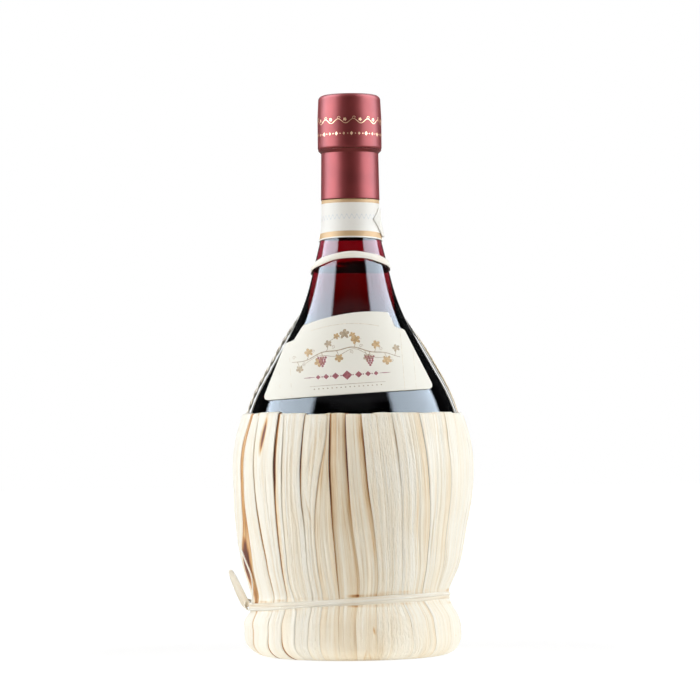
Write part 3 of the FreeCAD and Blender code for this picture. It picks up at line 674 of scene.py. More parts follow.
class Seam:
    """A line between two blades: angles and gaps at the levels, the side that lies on top and how far its edge lifts.

    The tone of the lower blade's margin, which shows in the gap: the margin's own tan at middling values, and painted
    shade deep in the gap at the darkest ones.
    """

    def __init__(self, angles, gap=-0.5, over=1, mark=0.5, lift=0.2):
        self.angles = np.array(angles, float)
        self.gap, self.mark, self.lift = (np.array(v if hasattr(v, "__len__") else [v] * len(LEVELS), float)
                                          for v in (gap, mark, lift))
        self.over = over


def blade(name, left, right, tones, seed, crown=0.3, layer=0.0, wave=0.07, bands=(), crinkle=0.2, fold_lift=None,
          creases=()):
    """One husk band between two seams, from its inner leaf to under the foot, with a sunk margin where it runs under.

    Bands are (place, breadth, change of tone, low, high); creases (place above, below, top, bottom, depth, breadth,
    change of tone), whose change of tone darkens the groove as painted shade, with some of the straw's own tan.
    """
    seeded = random.Random(seed)
    middle = math.radians(FRONT_TURN + float(np.mean(left.angles + right.angles)) / 2)
    heights = by_waist(middle, LINE_LOW[:, 1], LINE_HIGH[:, 1])
    heights[:FOLD_ROW] = LEVELS[0]
    radii = np.maximum(by_waist(middle, LINE_LOW[:, 0], LINE_HIGH[:, 0]), LEAST_RADIUS)
    rows, run = np.arange(ROWS), run_along(LINE_LOW)
    ease = np.interp(heights, EASE_Z, EASE)
    ease[:FOLD_ROW] = FOLD_EASE
    ease[rows > ROWS - UNDER_ROWS] = EASE[0]
    ease = eased(ease, 2)
    leaf = np.clip((LEAF_ROWS - 1 - rows) / 3, 0, 1)
    fold = bell((rows - LEAF_ROWS - FOLD_ROWS / 2) / 5.0)
    rise = seeded.uniform(-0.35, 0.7) if fold_lift is None else fold_lift
    edges, lifts, margins, gap_tans_and_shades, sinks = [], [], [], [], []
    for seam, inward in ((left, 1), (right, -1)):
        gap = down_rows(seam.gap, heights)
        on_top = seam.over == inward
        own = np.maximum(gap, 0) / 2 + 0.1 * waves(3, 18, 60, seeded)(run) - 1.3 * leaf
        edges.append(np.radians(FRONT_TURN + down_rows(seam.angles, heights)) + inward * own / radii)
        wide = np.clip((gap - 0.05) / 0.3, 0, 1)
        upper, under = down_rows(seam.lift, heights) * (0.3 + 0.7 * wide), -0.08 - 0.14 * wide
        lifts.append((upper if on_top else under) + 0.05 * waves(2, 30, 80, seeded)(run))
        sinks.append(np.clip(0.34 - upper + under, 0.03, 0.3))
        margins.append(None if on_top else (np.maximum(gap, 0) + MARGIN) * (1 - leaf) + 0.05)
        gap_tans_and_shades.append(down_rows(seam.mark, heights))
    width = float(np.median((edges[1] - edges[0]) * radii))
    u = np.linspace(0, 1, max(8, int(width / COLUMN_PITCH)))
    theta = edges[0][:, None] + (edges[1] - edges[0])[:, None] * u
    across = (u - 0.5) * width
    offset = layer - 0.22 + crown * min(1.0, width / 10) * ((1 - (2 * u - 1) ** 2) - 0.5)
    for lift, away in zip(lifts, (u, 1 - u)):
        offset = offset + lift[:, None] * smooth(1 - away / 0.4)
    offset = offset + wave * waves(3, 28, 90, seeded)(run)[:, None] * (0.6 + 0.4 * u)
    drift = 0.5 * waves(2, 40, 120, seeded)(run)

    lines = list(creases)
    for _ in range(max(2, int(width / 1.5))):
        top, length, at = seeded.uniform(25, 125), seeded.uniform(25, 90), seeded.uniform(0.04, 0.96)
        lines.append((at, at + seeded.uniform(-0.1, 0.1), top, top - length, seeded.uniform(0.1, 0.38),
                      seeded.uniform(0.25, 0.8), seeded.uniform(0.0, 0.12)))
    # Darkening along the creases' grooves and beside under-running edges: painted shade, partly the straw's own tan and
    # brown edges
    grooves, stain_and_shade = np.zeros_like(theta), np.zeros_like(theta)
    for above, below, top, bottom, depth, breadth, change in lines:
        share = np.clip((top - heights) / (top - bottom), 0, 1)
        swell = (np.sin(math.pi * share) ** 0.7 * (rows > LEAF_ROWS + 3))[:, None]
        place_at = (above * (1 - share) + below * share - 0.5) * width + drift * (0 if creases and depth > 0.5 else 1)
        shape = swell * bell((across - place_at[:, None]) / (breadth * (0.4 + 0.6 * swell)))
        grooves, stain_and_shade = np.maximum(grooves, depth * shape), np.maximum(stain_and_shade, change * shape)
    askew = (0.2 if seed % 2 else -0.2) * leaf + rise * fold
    offset = (offset - grooves) * ease[:, None] + settle(theta, heights) + askew[:, None]

    # A dark rim beside each edge that runs under its neighbour: a painted contact shadow, with some brown of the edge
    for margin, away in zip(margins, (u, 1 - u)):
        if margin is not None:
            stain_and_shade = stain_and_shade + 0.13 * np.exp(-away * width / 0.9)
    # The tone is scaled down lower on the straw: painted light that pales it
    tone = np.interp(heights, PAINTED_PALE_Z, PAINTED_PALE)[:, None] * (tones[0] * (1 - u) + tones[1] * u) + stain_and_shade
    for at, breadth, change, low, high in bands:
        stretch = np.clip((heights - low) / 10, 0, 1) * np.clip((high - heights) / 10, 0, 1)
        tone = tone + change * stretch[:, None] * bell((u - at) * width / breadth)
    tone[:LEAF_ROWS] = LEAF_TONE
    # Painted shadow lines just above and just below the waist tie, broken up round the waist
    above_waist = by_waist(theta, LINE_LOW[:, 1:], LINE_HIGH[:, 1:]) - waist_at(theta)
    tie_shadow_breaks = np.clip(0.45 + 0.5 * np.sin(5 * theta + 1.9) + 0.35 * np.sin(23 * theta), 0.1, 1)
    tone += tie_shadow_breaks * (0.55 * bell((above_waist - 2.5) / 0.5) + 0.35 * bell((above_waist + 2.5) / 0.5))

    span = np.repeat(across[None, :], ROWS, axis=0)
    # The sunk margins take the gap's tone: their own tan, and where darkest a painted shade in the gap
    for margin, mark, sink, edge, inward, end in zip(margins, gap_tans_and_shades, sinks, edges, (1, -1), (0, -1)):
        if margin is None:
            continue
        out = margin[:, None] * np.linspace(0, 1, MARGIN_COLUMNS + 1)[1:]
        sunk = np.clip(out / 0.35, 0, 1)
        depth = offset[:, end][:, None] - (sink * ease * (1 - leaf))[:, None] * sunk
        shade = tone[:, end][:, None] * (1 - sunk) + np.where(rows < LEAF_ROWS, LEAF_TONE, mark)[:, None] * sunk
        extra = (edge[:, None] - inward * out / radii[:, None], depth, shade, span[:, end][:, None] - inward * out)
        theta, offset, tone, span = (np.hstack((b[:, ::-1], a) if inward == 1 else (a, b))
                                     for a, b in zip((theta, offset, tone, span), extra))
    half = STRAW_THICKNESS / 2
    uv = np.stack((span, np.repeat(run[:, None], span.shape[1], axis=1)), axis=2)
    tone = np.stack((tone, np.full_like(tone, crinkle), np.full_like(tone, seeded.random())), axis=2)
    return solid_sheet(name, jacket(theta, offset + half), jacket(theta, offset - half), STRAW, uv, tone)


SEAMS = {
    "a": Seam((-99, -99, -100, -102, -105, -109, -113, -98, -97, -98, -94)),
    "b": Seam((-86, -86, -87, -89, -94, -100, -105, -84, -83, -86, -86)),
    "s1a": Seam((-65, -67.8, -67.6, -67.2, -69.5, -82, -80, -70, -64.9, -67.3, -74.5), 0.05, -1, 0.6, 0.1),
    "s1b": Seam(
        (-62, -64.2, -64.1, -63.4, -62.6, -62.6, -66.7, -68.4, -63.6, -65.9, -72.5),
        (0.05, 0.05, 0.05, 0.05, 0.05, 0.05, 0.05, 0.1, 0.35, 0.9, 1.5), 1,
        (0.6, 0.6, 0.6, 0.6, 0.6, 0.6, 0.6, 0.6, 0.65, 0.95, 1), 0.02,
    ),
    "l2": Seam(
        (-56, -54.6, -54.6, -53.1, -51.9, -49.6, -50.8, -51.0, -49.5, -52.3, -52.7),
        (0.05, 0.15, 0.25, 0.55, 0.8, 0.8, 0.5, 0.25, 0.35, 0.9, 1.4), -1,
        (0.5, 0.55, 0.6, 0.68, 0.74, 0.76, 0.72, 0.6, 0.7, 0.95, 1), 0.14,
    ),
    "l3": Seam(
        (-40.1, -39.2, -39.4, -39.4, -39.6, -39.2, -40.8, -40.6, -40, -41.7, -37.2),
        (1.2, 1.4, 1.4, 0.9, 0.9, 0.9, 0.5, 0.25, 0.4, 1.0, 1.6), -1,
        (0.95, 0.92, 0.96, 0.8, 0.76, 0.76, 0.74, 0.62, 0.7, 0.9, 1),
        (0.5, 0.5, 0.5, 0.2, 0.12, 0.12, 0.12, 0.12, 0.12, 0.2, 0.2),
    ),
    "l4": Seam(
        (-37.4, -35, -35.3, -35.7, -35.6, -35.7, -37.7, -32.1, -31.5, -34.1, -28.6),
        (0, 0.05, 0.1, 0.05, 0.05, 0.1, 0.1, 0, 0, 0, 0), -1, 0.42,
    ),
    "l5": Seam(
        (-24.7, -24.6, -25.2, -25.1, -23.9, -24.4, -23.8, -23.7, -24.4, -25.8, -23.8),
        (0.4, 0.7, 0.9, 0.45, 0.1, 0.05, 0.05, 0.1, 0.05, 0, 0), -1,
        (0.85, 0.95, 0.97, 0.85, 0.5, 0.45, 0.45, 0.5, 0.45, 0.4, 0.4), 0.3,
    ),
    "l7": Seam(
        (-12.9, -12.7, -15.7, -17.8, -19.3, -19, -18.1, -17.7, -18.4, -18.1, -17.4),
        (0, 0.05, 0.2, 0.1, 0, 0, 0.05, 0.1, 0.05, 0, 0), -1,
        (0.4, 0.5, 0.55, 0.5, 0.35, 0.35, 0.45, 0.45, 0.4, 0.4, 0.4), 0.35,
    ),
    "l8": Seam(
        (-11.2, -10.8, -10.9, -10.3, -10, -9, -8.5, -8.3, -8.3, -8.1, -7.8),
        (0.7, 1.0, 1.0, 0.9, 0.7, 0.5, 0.4, 0.35, 0.25, 0.15, 0.1), -1,
        (0.9, 0.95, 0.9, 0.8, 0.72, 0.74, 0.88, 0.8, 0.7, 0.55, 0.5), 0.35,
    ),
    "l9": Seam(
        (-3.9, -3.4, -2.8, -2, -0.5, 1.8, 3.7, 0.6, 0.5, 0.8, 1.4),
        (0.5, 1.0, 1.1, 0.6, 0.3, 0.15, 0.1, 0.05, 0.3, 0.35, 0.1), 1,
        (0.95, 1, 1, 0.85, 0.55, 0.45, 0.45, 0.45, 0.7, 0.76, 0.5), 0.5,
    ),
    "l10": Seam(
        (4.2, 5, 5.8, 7.3, 10.3, 11.8, 13.6, 11.5, 11.2, 12.1, 11.6),
        (0.3, 0.6, 0.7, 0.4, 0.1, 0.15, 0.2, 0.05, 0, 0, 0), 1,
        (0.8, 0.95, 0.97, 0.8, 0.5, 0.55, 0.65, 0.45, 0.4, 0.4, 0.4), 0.3,
    ),
    "l11": Seam((11.8, 11.9, 13.1, 14.6, 15.9, 17.4, 20.2, 18.7, 18.1, 19.6, 17.9), 0, -1, 0.32, 0.1),
    "ls": Seam(
        (19.6, 20.9, 22, 23, 24.3, 25.5, 27.9, 30, 31.4, 33.6, 31.5),
        (0.1, 0.75, 0.05, 0, 0, 0.05, 0.05, 0, 0, 0, 0), 1,
        (0.55, 0.75, 0.42, 0.35, 0.35, 0.4, 0.45, 0.4, 0.35, 0.35, 0.35), 0.2,
    ),
    "l12": Seam((28.8, 29.2, 30.4, 31.6, 32, 34.6, 38.4, 40, 41.4, 43.1, 41.1), 0.12, -1, 0.42, 0.4),
    "l13": Seam((35.8, 35.8, 37.3, 38.8, 40.6, 40.6, 44, 47.1, 46.9, 49.9, 47.9), 0.1, 1, 0.42, 0.2),
    "l14": Seam(
        (46.8, 44.6, 44.7, 44.9, 44.6, 45.4, 48.4, 54, 52.3, 57, 54.6),
        (0.08, 0.12, 0.15, 0.15, 0.12, 0.1, 0.05, 0, 0, 0, 0), -1, 0.4, 0.3,
    ),
    "l15": Seam((55.3, 51.8, 52.9, 53.2, 53.7, 55.3, 58.6, 63.2, 61.6, 64.4, 62.1), 0.08, 1, 0.4, 0.25),
    "l16": Seam((64, 60.3, 60.6, 60.7, 61.1, 61.8, 63.7, 68.8, 66.9, 70, 66.7), 0, -1, 0.3, 0.2),
    "l17": Seam((76, 75.5, 75, 75, 75, 76, 77, 80, 80, 83, 80), 0, 1, 0.3, 0.15),
    "l18": Seam((90, 90, 90, 90, 90, 91, 92, 94, 94, 95, 92), 0.05, -1, 0.4),
}
FRONT_BLADES = [
    (21, "a", "b", (0.06, 0.04), {}),
    (22, "b", "s1a", (0.02, 0.03), {}),
    (24, "s1b", "l2", (0.03, 0.05), {"fold_lift": 0.6}),
    (25, "l2", "l3", (0.02, 0.06), {
        "fold_lift": 1.0, "creases": ((0.48, 0.33, 111, 91, 0.6, 1.05, 1.3), (0.7, 0.62, 100, 50, 0.2, 0.5, 0.1)),
    }),
    (26, "l3", "l4", (0.09, 0.04), {}),
    # Blade 27 darkens towards its right edge: partly painted shade
    (27, "l4", "l5", (0.05, 0.15), {"crinkle": 0.5, "creases": ((0.62, 0.7, 70, 20, 0.25, 0.4, 0.12),)}),
    (28, "l5", "l7", (0.22, 0.22), {
        "crinkle": 0.7,
        "creases": (
            (0.3, 0.42, 112, 74, 0.4, 0.22, 0.26), (0.52, 0.5, 112, 90, 0.35, 0.2, 0.22),
            (0.05, 0.95, 78, 58, 0.35, 0.3, 0.3), (0.5, 0.6, 50, 22, 0.25, 0.3, 0.2),
        ),
    }),
    (29, "l7", "l8", (0.38, 0.36), {"bands": ((0.2, 1.4, 0.14, 72, 104), (0.9, 0.8, 0.14, 20, 70))}),
    (30, "l8", "l9", (0.38, 0.42), {"bands": ((0.95, 1.2, 0.12, 20, 80),)}),
    (31, "l9", "l10", (0.24, 0.38), {
        "bands": ((0.85, 1.0, 0.16, 40, 112),),
        "creases": (
            (0.88, 0.92, 16, 12, 0.1, 0.4, 0.5), (0.5, 0.3, 6, -1, 0.3, 0.3, 0.3), (0.5, 0.85, 6, -1, 0.3, 0.3, 0.3),
        ),
    }),
    (32, "l10", "l11", (0.18, 0.16), {"crinkle": 1.0, "bands": ((0.25, 1.6, 0.26, -8, 16),)}),
    (33, "l11", "ls", (0.15, 0.17), {"crinkle": 1.0}),
    (34, "ls", "l12", (0.16, 0.14), {"crinkle": 0.8, "bands": ((0.9, 2.0, 0.16, -8, 14),)}),
    (35, "l12", "l13", (0.2, 0.28), {
        "bands": ((0.6, 0.9, 0.12, 20, 112), (0.2, 0.5, 0.14, 18, 50), (0.8, 0.4, 0.16, 2, 50)),
    }),
    (36, "l13", "l14", (0.1, 0.06), {
        "creases": ((0.75, 0.55, 95, 60, 0.4, 0.6, 0.14), (0.6, 0.2, 72, 40, 0.4, 0.5, 0.16)),
    }),
    (37, "l14", "l15", (0.08, 0.16), {"bands": ((0.8, 1.4, 0.14, 40, 112), (0.1, 0.6, 0.12, 30, 112))}),
    (38, "l15", "l16", (0.1, 0.04), {}),
    (39, "l16", "l17", (0.02, 0.0), {}),
    (40, "l17", "l18", (0.0, 0.02), {}),
]
# The sunk strip that shows in the gap at the left
UNDER_STRIP = (
    Seam((-72, -71.5, -71.5, -72, -78, -93, -98, -74, -69, -71, -78), 0.0, 1),
    Seam((-59, -61, -61, -59.5, -58, -59, -63, -65, -60, -62, -69), 0.0, -1), (0.76, 0.78), 23, 0.0, -0.3, 0.03,
)
UNDER_CREASES = (
    (0.5, 0.8, 56, 33, 0.2, 1.6, 0.64), (0.44, 0.66, 53, 29, 0.2, 1.9, 0.6), (0.7, 0.62, 41, 19, 0.2, 2.2, 0.44),
)
WIDTH_SHARES = (1.0, 1.25, 0.8, 1.1, 0.9, 1.3, 0.75, 0.9)
BACK_STRIPS, BACK_START, BACK_SWEEP = 20, 90, 171.0
BACK_LOW, BACK_HEIGHT = 4, 106

STRAW = straw_material("straw", [
    (0.0, (0.95, 0.905, 0.80, 1)), (0.2, (0.92, 0.835, 0.68, 1)), (0.4, (0.85, 0.715, 0.52, 1)),
    (0.6, (0.74, 0.53, 0.31, 1)), (0.78, (0.58, 0.30, 0.11, 1)), (0.92, (0.33, 0.13, 0.05, 1)),
    (1.0, (0.14, 0.05, 0.03, 1)),
], 1.0, 0.5)
RAFFIA = straw_material("raffia", [
    (0.0, (0.94, 0.91, 0.83, 1)), (0.3, (0.89, 0.82, 0.69, 1)), (0.6, (0.72, 0.58, 0.40, 1)),
    (1.0, (0.50, 0.33, 0.18, 1)),
], 1.4, 0.5)


def straw_strip(number, *values, **extras):
    place(blade(f"straw_{number:02d}", *values, **extras), "bottle", "straw", f"straw_strip_{number:02d}")


def straw_jacket():
    for number, left, right, tones, extras in FRONT_BLADES:
        straw_strip(number, SEAMS[left], SEAMS[right], tones, number, **extras)
    straw_strip(23, *UNDER_STRIP, creases=UNDER_CREASES)
    bounds = np.cumsum([0] + [WIDTH_SHARES[k % len(WIDTH_SHARES)] for k in range(BACK_STRIPS)])
    seams = [SEAMS["l18"]]
    for at in (BACK_START + bounds / bounds[-1] * BACK_SWEEP)[1:-1]:
        lean, bow, jitter = rng.uniform(-3, 3), rng.uniform(-1.2, 1.2), rng.uniform(-1.5, 1.5)
        shares = (LEVELS - BACK_LOW) / BACK_HEIGHT
        angles = at + jitter + lean * (0.5 - shares) + bow * np.sin(math.pi * shares)
        gap, mark, peak = rng.choice((0.1, 0.15, 0.5, 0.8, 1.0)), rng.uniform(0.5, 0.95), rng.uniform(45, 105)
        gaps = gap * (0.25 + 0.75 * bell((LEVELS - peak) / 28))
        seams.append(Seam(angles, gaps, rng.choice((-1, 1)), np.where(gaps > 0.2, mark, 0.45), rng.uniform(0.15, 0.4)))
    seams.append(Seam(SEAMS["a"].angles + 360, -0.5, 1))
    for k in range(BACK_STRIPS):
        base = rng.choice((0.04, 0.08, 0.12, 0.18, 0.3))
        straw_strip(k + 1, seams[k], seams[k + 1], (base, base + rng.uniform(-0.04, 0.08)), 100 + k)


ROLL_CENTRE, ROLL_RADIUS = (40.5, 9.5), 8.3
ROLL_FLAT, ROLL_GAP = 0.7, 0.35
ROLL_AROUND, ROLL_SECTION = 160, 28
ROLL_UV = (1.9, 1.6)


def foot_roll():
    """A twisted straw roll inside the foot, pressed flat where the flask stands on it."""
    verts, faces, uvs = [], [], []
    lower = OUTSIDE[OUTSIDE[:, 1] < 30]
    ways = normals_of(lower)
    for i in range(ROLL_AROUND):
        theta = TAU * i / ROLL_AROUND
        for k in range(ROLL_SECTION):
            turn = TAU * k / ROLL_SECTION
            strands = ROLL_RADIUS * (1 + 0.035 * math.cos(6 * (turn + 9 * theta)))
            r, z = ROLL_CENTRE[0] + strands * math.cos(turn), max(ROLL_CENTRE[1] + strands * math.sin(turn), ROLL_FLAT)
            for _ in range(2):
                near = int(np.argmin(np.linalg.norm(lower - (r, z), axis=1)))
                short = ROLL_GAP - float((np.array((r, z)) - lower[near]) @ ways[near])
                if short > 0:
                    r, z = r + ways[near][0] * short, z + ways[near][1] * short
            verts.append(polar(r, theta, max(z, ROLL_FLAT)))
            j, m = (i + 1) % ROLL_AROUND, (k + 1) % ROLL_SECTION
            faces.append([a * ROLL_SECTION + b for a, b in ((i, k), (j, k), (j, m), (i, m))])
            uvs.append([((k + a) * ROLL_UV[0], (i + b) * ROLL_UV[1]) for a, b in ((0, 0), (0, 1), (1, 1), (1, 0))])
    obj = add_object("foot_roll", verts, faces, [STRAW], uvs=uvs, tones=[(0.3, 0.0, 0.37)] * len(verts))
    place(obj, "bottle", "straw_padding", "foot_ring")


straw_jacket()
foot_roll()


# Capsule, seal strip and label

SKIRT_LOW, HEAD_LOW, TEAR_GAP, FOIL = 209.2, 232.37, 0.2, (0.2, 0.7)
HEAD_RADIUS, HEAD_TOP_RADIUS, HEAD_BEND = 14.75, 14.25, 247.17
HEAD_LIP = HEAD_LOW + 0.9
HEAD_OUTSIDE = [
    (14.5, HEAD_LOW, 0), (HEAD_RADIUS, HEAD_LIP, 0.6), (HEAD_RADIUS, HEAD_BEND, 30), (HEAD_TOP_RADIUS, 257.5, 2.3),
    (10.2, 257.55, 0),
]
HEAD_INSIDE = [(10.2, 256.95), (12.4, 256.9), (13.7, 255.3), (14.25, HEAD_BEND), (14.25, HEAD_LIP), (14.15, HEAD_LOW)]
HEAD_FLAT, HEAD_FLAT_RADIUS = 257.4, 12.2
DISC = [(0, 257.75, 0), (6.0, 257.72, 20), (10.1, 257.5, 0.3), (10.1, 257.0, 0), (0, 257.0, 0)]
SEAL_LOW, SEAL_TOP, SEAL_LEAN = 191.3, 209.05, 1.1
GILT_LINES, GILT_SOFT = ((207.4, 210.0), (191.9, 194.4)), 0.15
FRET_LEVEL = 201.0
FLAP_TOP, FLAP_DROP, FLAP_POINT, FLAP_UV = 205.2, 13.0, 0.42, (0.0, 215.0)
PAPER_IN, PAPER_OUT = 0.2, 0.45
LABEL_LOW, LABEL_SHIFT = 119.2, -1.75
LABEL_SLOPE = math.tan(math.radians(3.4))
LABEL_TOP, LABEL_ARCH, LABEL_CORNER = 33.6, 3.1, 2.9


def capsule_material():
    s = Shader("capsule_foil")
    grain, cloud = s.noise(1400.0, 3.0, 0.6), s.noise(120.0)
    colour = s.mix(s.fit(cloud, 0.3, 0.7), (0.162, 0.0255, 0.0235, 1), (0.186, 0.0295, 0.027, 1))
    s.set(Base_Color=colour, Metallic=0.66, Specular_IOR_Level=0.2, Coat_Weight=0.24, Coat_Roughness=0.34)
    s.rough(grain, 0.43, 0.49)
    s.bump(s.plus(grain, s.scaled(cloud, 3.0)), 0.1, 0.0002)
    return s.material


def capsule_top_material():
    s = Shader("capsule_top")
    colour = s.mix(s.noise(120.0), (0.25, 0.04, 0.04, 1), (0.29, 0.05, 0.05, 1))
    s.set(Base_Color=colour, Roughness=0.75, Specular_IOR_Level=0.0)
    return s.material


def neck_band(within, low, high, offsets):
    """A closed profile of a thin band on the neck between two heights."""
    side = outside_between(*within)
    return np.vstack([cut(offset_path(side, off), low, high)[::way] for off, way in zip(offsets, (-1, 1))])


def capsule():
    foil, top = capsule_material(), capsule_top_material()
    sleeve = neck_band((205, 236), SKIRT_LOW, HEAD_LOW - TEAR_GAP, FOIL)
    place(lathe("capsule_skirt", sleeve, [foil]), "bottle", "capsule", "capsule_sleeve")
    head = np.vstack((refined(rounded(HEAD_OUTSIDE, 12), 0.8), HEAD_INSIDE))
    flat = lambda i: int(head[i][1] > HEAD_FLAT and head[i][0] < HEAD_FLAT_RADIUS)
    place(lathe("capsule_cap", head, [foil, top], pick=flat), "capsule", "capsule", "capsule_head")
    place(lathe("capsule_disc", rounded(DISC), [top], 96), "capsule", "capsule", "capsule_top_disc")


def seal_strip():
    """A paper band round the neck with a gilt line along each edge, its loose end hanging at the right."""
    s = paper_material("seal_paper", linear(229, 224, 215), linear(215, 211, 204))
    u, v = s.uv()
    tint = s.bsdf.inputs["Base Color"].links[0].from_socket
    gilt = 0.0
    for low, high in GILT_LINES:
        edge = s.scaled(s.fit(v, low - GILT_SOFT, low + GILT_SOFT), s.fit(v, high + GILT_SOFT, high - GILT_SOFT))
        gilt = s.math("MAXIMUM", gilt, edge)
    fret = s.scaled(s.math("SINE", s.scaled(u, 226.0)), 0.9)
    fret = s.math("ABSOLUTE", s.math("SUBTRACT", fret, s.math("SUBTRACT", v, FRET_LEVEL)))
    tint = s.mix(s.scaled(s.fit(fret, 0.45, 0.2), 0.45), tint, (0.45, 0.5, 0.56, 1))
    s.set(Base_Color=s.mix(gilt, tint, (0.42, 0.26, 0.12, 1)), Metallic=s.scaled(gilt, 0.3), Specular_IOR_Level=0.85)

    def lean(r, z, turn):
        low = z - SEAL_LEAN * (1 + math.sin(turn)) * (SEAL_TOP - z) / (SEAL_TOP - SEAL_LOW)
        return r + glass_radius(low) - glass_radius(z), low

    def flap(share, t):
        z = FLAP_TOP - FLAP_DROP * share
        start = -41 + 33 * abs(share - FLAP_POINT) / (1 - FLAP_POINT)
        theta = math.radians(start + (24 - start) * t)
        stand = 0.7 + 0.9 * math.sin(math.pi * min(1, 1.25 * t)) * (0.4 + 0.6 * share) + 0.25 * share
        return [polar(glass_radius(z) + off, theta, z) for off in (stand, stand - 0.2)] + [FLAP_UV]

    ring = neck_band((190, 213), SEAL_LOW, SEAL_TOP, (PAPER_IN, PAPER_OUT))
    place(lathe("seal_strip", ring, [s.material], shape=lean), "bottle", "seal_paper", "neck_seal_strip")
    paper = paper_material("flap_paper", linear(240, 238, 231), linear(229, 226, 216)).material
    place(paper_sheet("seal_flap", 30, 14, flap, paper), "bottle", "seal_paper")


def label_half(rise):
    """Half of the label's width at a rise above its lower edge."""
    half = float(np.interp(rise, (0, 26.0, 27.1, LABEL_TOP), (39.2, 27.4, 23.0, 19.4)))
    if rise < LABEL_CORNER:
        half -= LABEL_CORNER - math.sqrt(max(0.0, LABEL_CORNER ** 2 - (LABEL_CORNER - rise) ** 2))
    return half


def on_label(x, rise, offset):
    """A point of the label's plane laid on the flask."""
    z = LABEL_LOW + rise + x * LABEL_SLOPE
    x += LABEL_SHIFT + float(np.interp(rise, (0, 27.5, LABEL_TOP), (0, -1.6, -1.0)))
    r = glass_radius(z) + offset
    return (x, -math.sqrt(max(0.0, r * r - x * x)), z)


def label():
    def spot(down, across):
        share, t = 1 - down, 2 * across - 1
        x = t * label_half(share * LABEL_TOP)
        rise = share * (LABEL_TOP + LABEL_ARCH * (1 - t * t)) * (1 + 0.048 * t + 0.032 * t * t)
        return on_label(x, rise, PAPER_OUT), on_label(x, rise, PAPER_IN), (x, rise)

    paper = paper_material("label_paper", linear(243, 240, 230), linear(236, 231, 217)).material
    place(paper_sheet("label_sheet", 60, 96, spot, paper), "bottle", "label_paper", "front_label")


capsule()
seal_strip()
label()


# Printing on the paper and foil

class Print:
    """Thin inked shapes laid on a surface by a function of two lengths and an offset."""

    def __init__(self, lay, low, high):
        self.lay, self.low, self.high = lay, low, high
        self.verts, self.faces = [], []

    def prism(self, points, cells, rim):
        base, count = len(self.verts), len(points)
        for offset in (self.high, self.low):
            self.verts += [self.lay(x, y, offset) for x, y in points]
        for cell in cells:
            self.faces += [[base + k for k in cell], [base + count + k for k in reversed(cell)]]
        for i, j in zip(rim, rim[1:] + rim[:1]):
            self.faces.append([base + j, base + i, base + count + i, base + count + j])

    def fan(self, points):
        centre = tuple(sum(c) / len(points) for c in zip(*points))
        n = len(points)
        self.prism(points + [centre], [[n, k, (k + 1) % n] for k in range(n)], list(range(n)))

    def stroke(self, points, width, taper=0.0):
        line = np.array(points, float)
        side = -normals_of(line)
        n = len(line)
        half = (width / 2 * (1 - taper * np.abs(2 * np.linspace(0, 1, n) - 1) ** 2))[:, None]
        cells = [[k + n, k + 1 + n, k + 1, k] for k in range(n - 1)]
        sides = [tuple(p) for p in np.vstack((line + side * half, line - side * half))]
        self.prism(sides, cells, list(range(n, 2 * n)) + list(range(n - 1, -1, -1)))

    def disc(self, x, y, radius, count=12):
        turns = [TAU * k / count for k in range(count)]
        self.fan([(x + radius * math.cos(t), y + radius * math.sin(t)) for t in turns])

    def lozenge(self, x, y, across, up):
        self.fan([(x + across, y), (x, y + up), (x - across, y), (x, y - up)])

    def leaf(self, x, y, size, turn, count=40):
        points = []
        for a in (TAU * k / count for k in range(count)):
            r = size * (0.55 + 0.45 * abs(math.cos(2.5 * a)) ** 0.7) * (1.0 if abs(a - math.pi) > 0.35 else 0.7)
            points.append((x + r * math.cos(a + turn), y + r * math.sin(a + turn)))
        self.fan(points)

    def object(self, name, material, body, slot):
        place(add_object(name, self.verts, self.faces, [material], smooth_shade=False), body, slot)


def ink(name, colour, rough=0.6, metal=0.0):
    s = Shader(name)
    worn = tuple(min(1.0, c * 1.5 + 0.04) for c in colour[:3]) + (1.0,)
    s.set(Base_Color=s.mix(s.fit(s.noise(700.0, 3.0, 0.6), 0.35, 0.7), colour, worn), Roughness=rough, Metallic=metal)
    return s.material


def curve(function, start, end, count):
    return [function(start + (end - start) * k / (count - 1)) for k in range(count)]


def curl(x, y, size, shrink, phase=0.0):
    """A point function of a tightening tendril about a place."""
    def spot(t):
        r, turn = size - shrink * t, t * 1.1 + phase
        return (x + r * math.cos(turn), y + r * math.sin(turn))
    return spot


RULE = 8.6
LABEL_INKS = {
    "sepia": (0.33, 0.25, 0.16, 1), "ochre": (0.40, 0.26, 0.12, 1), "claret": (0.20, 0.045, 0.05, 1),
    "faint": (0.62, 0.55, 0.43, 1),
}


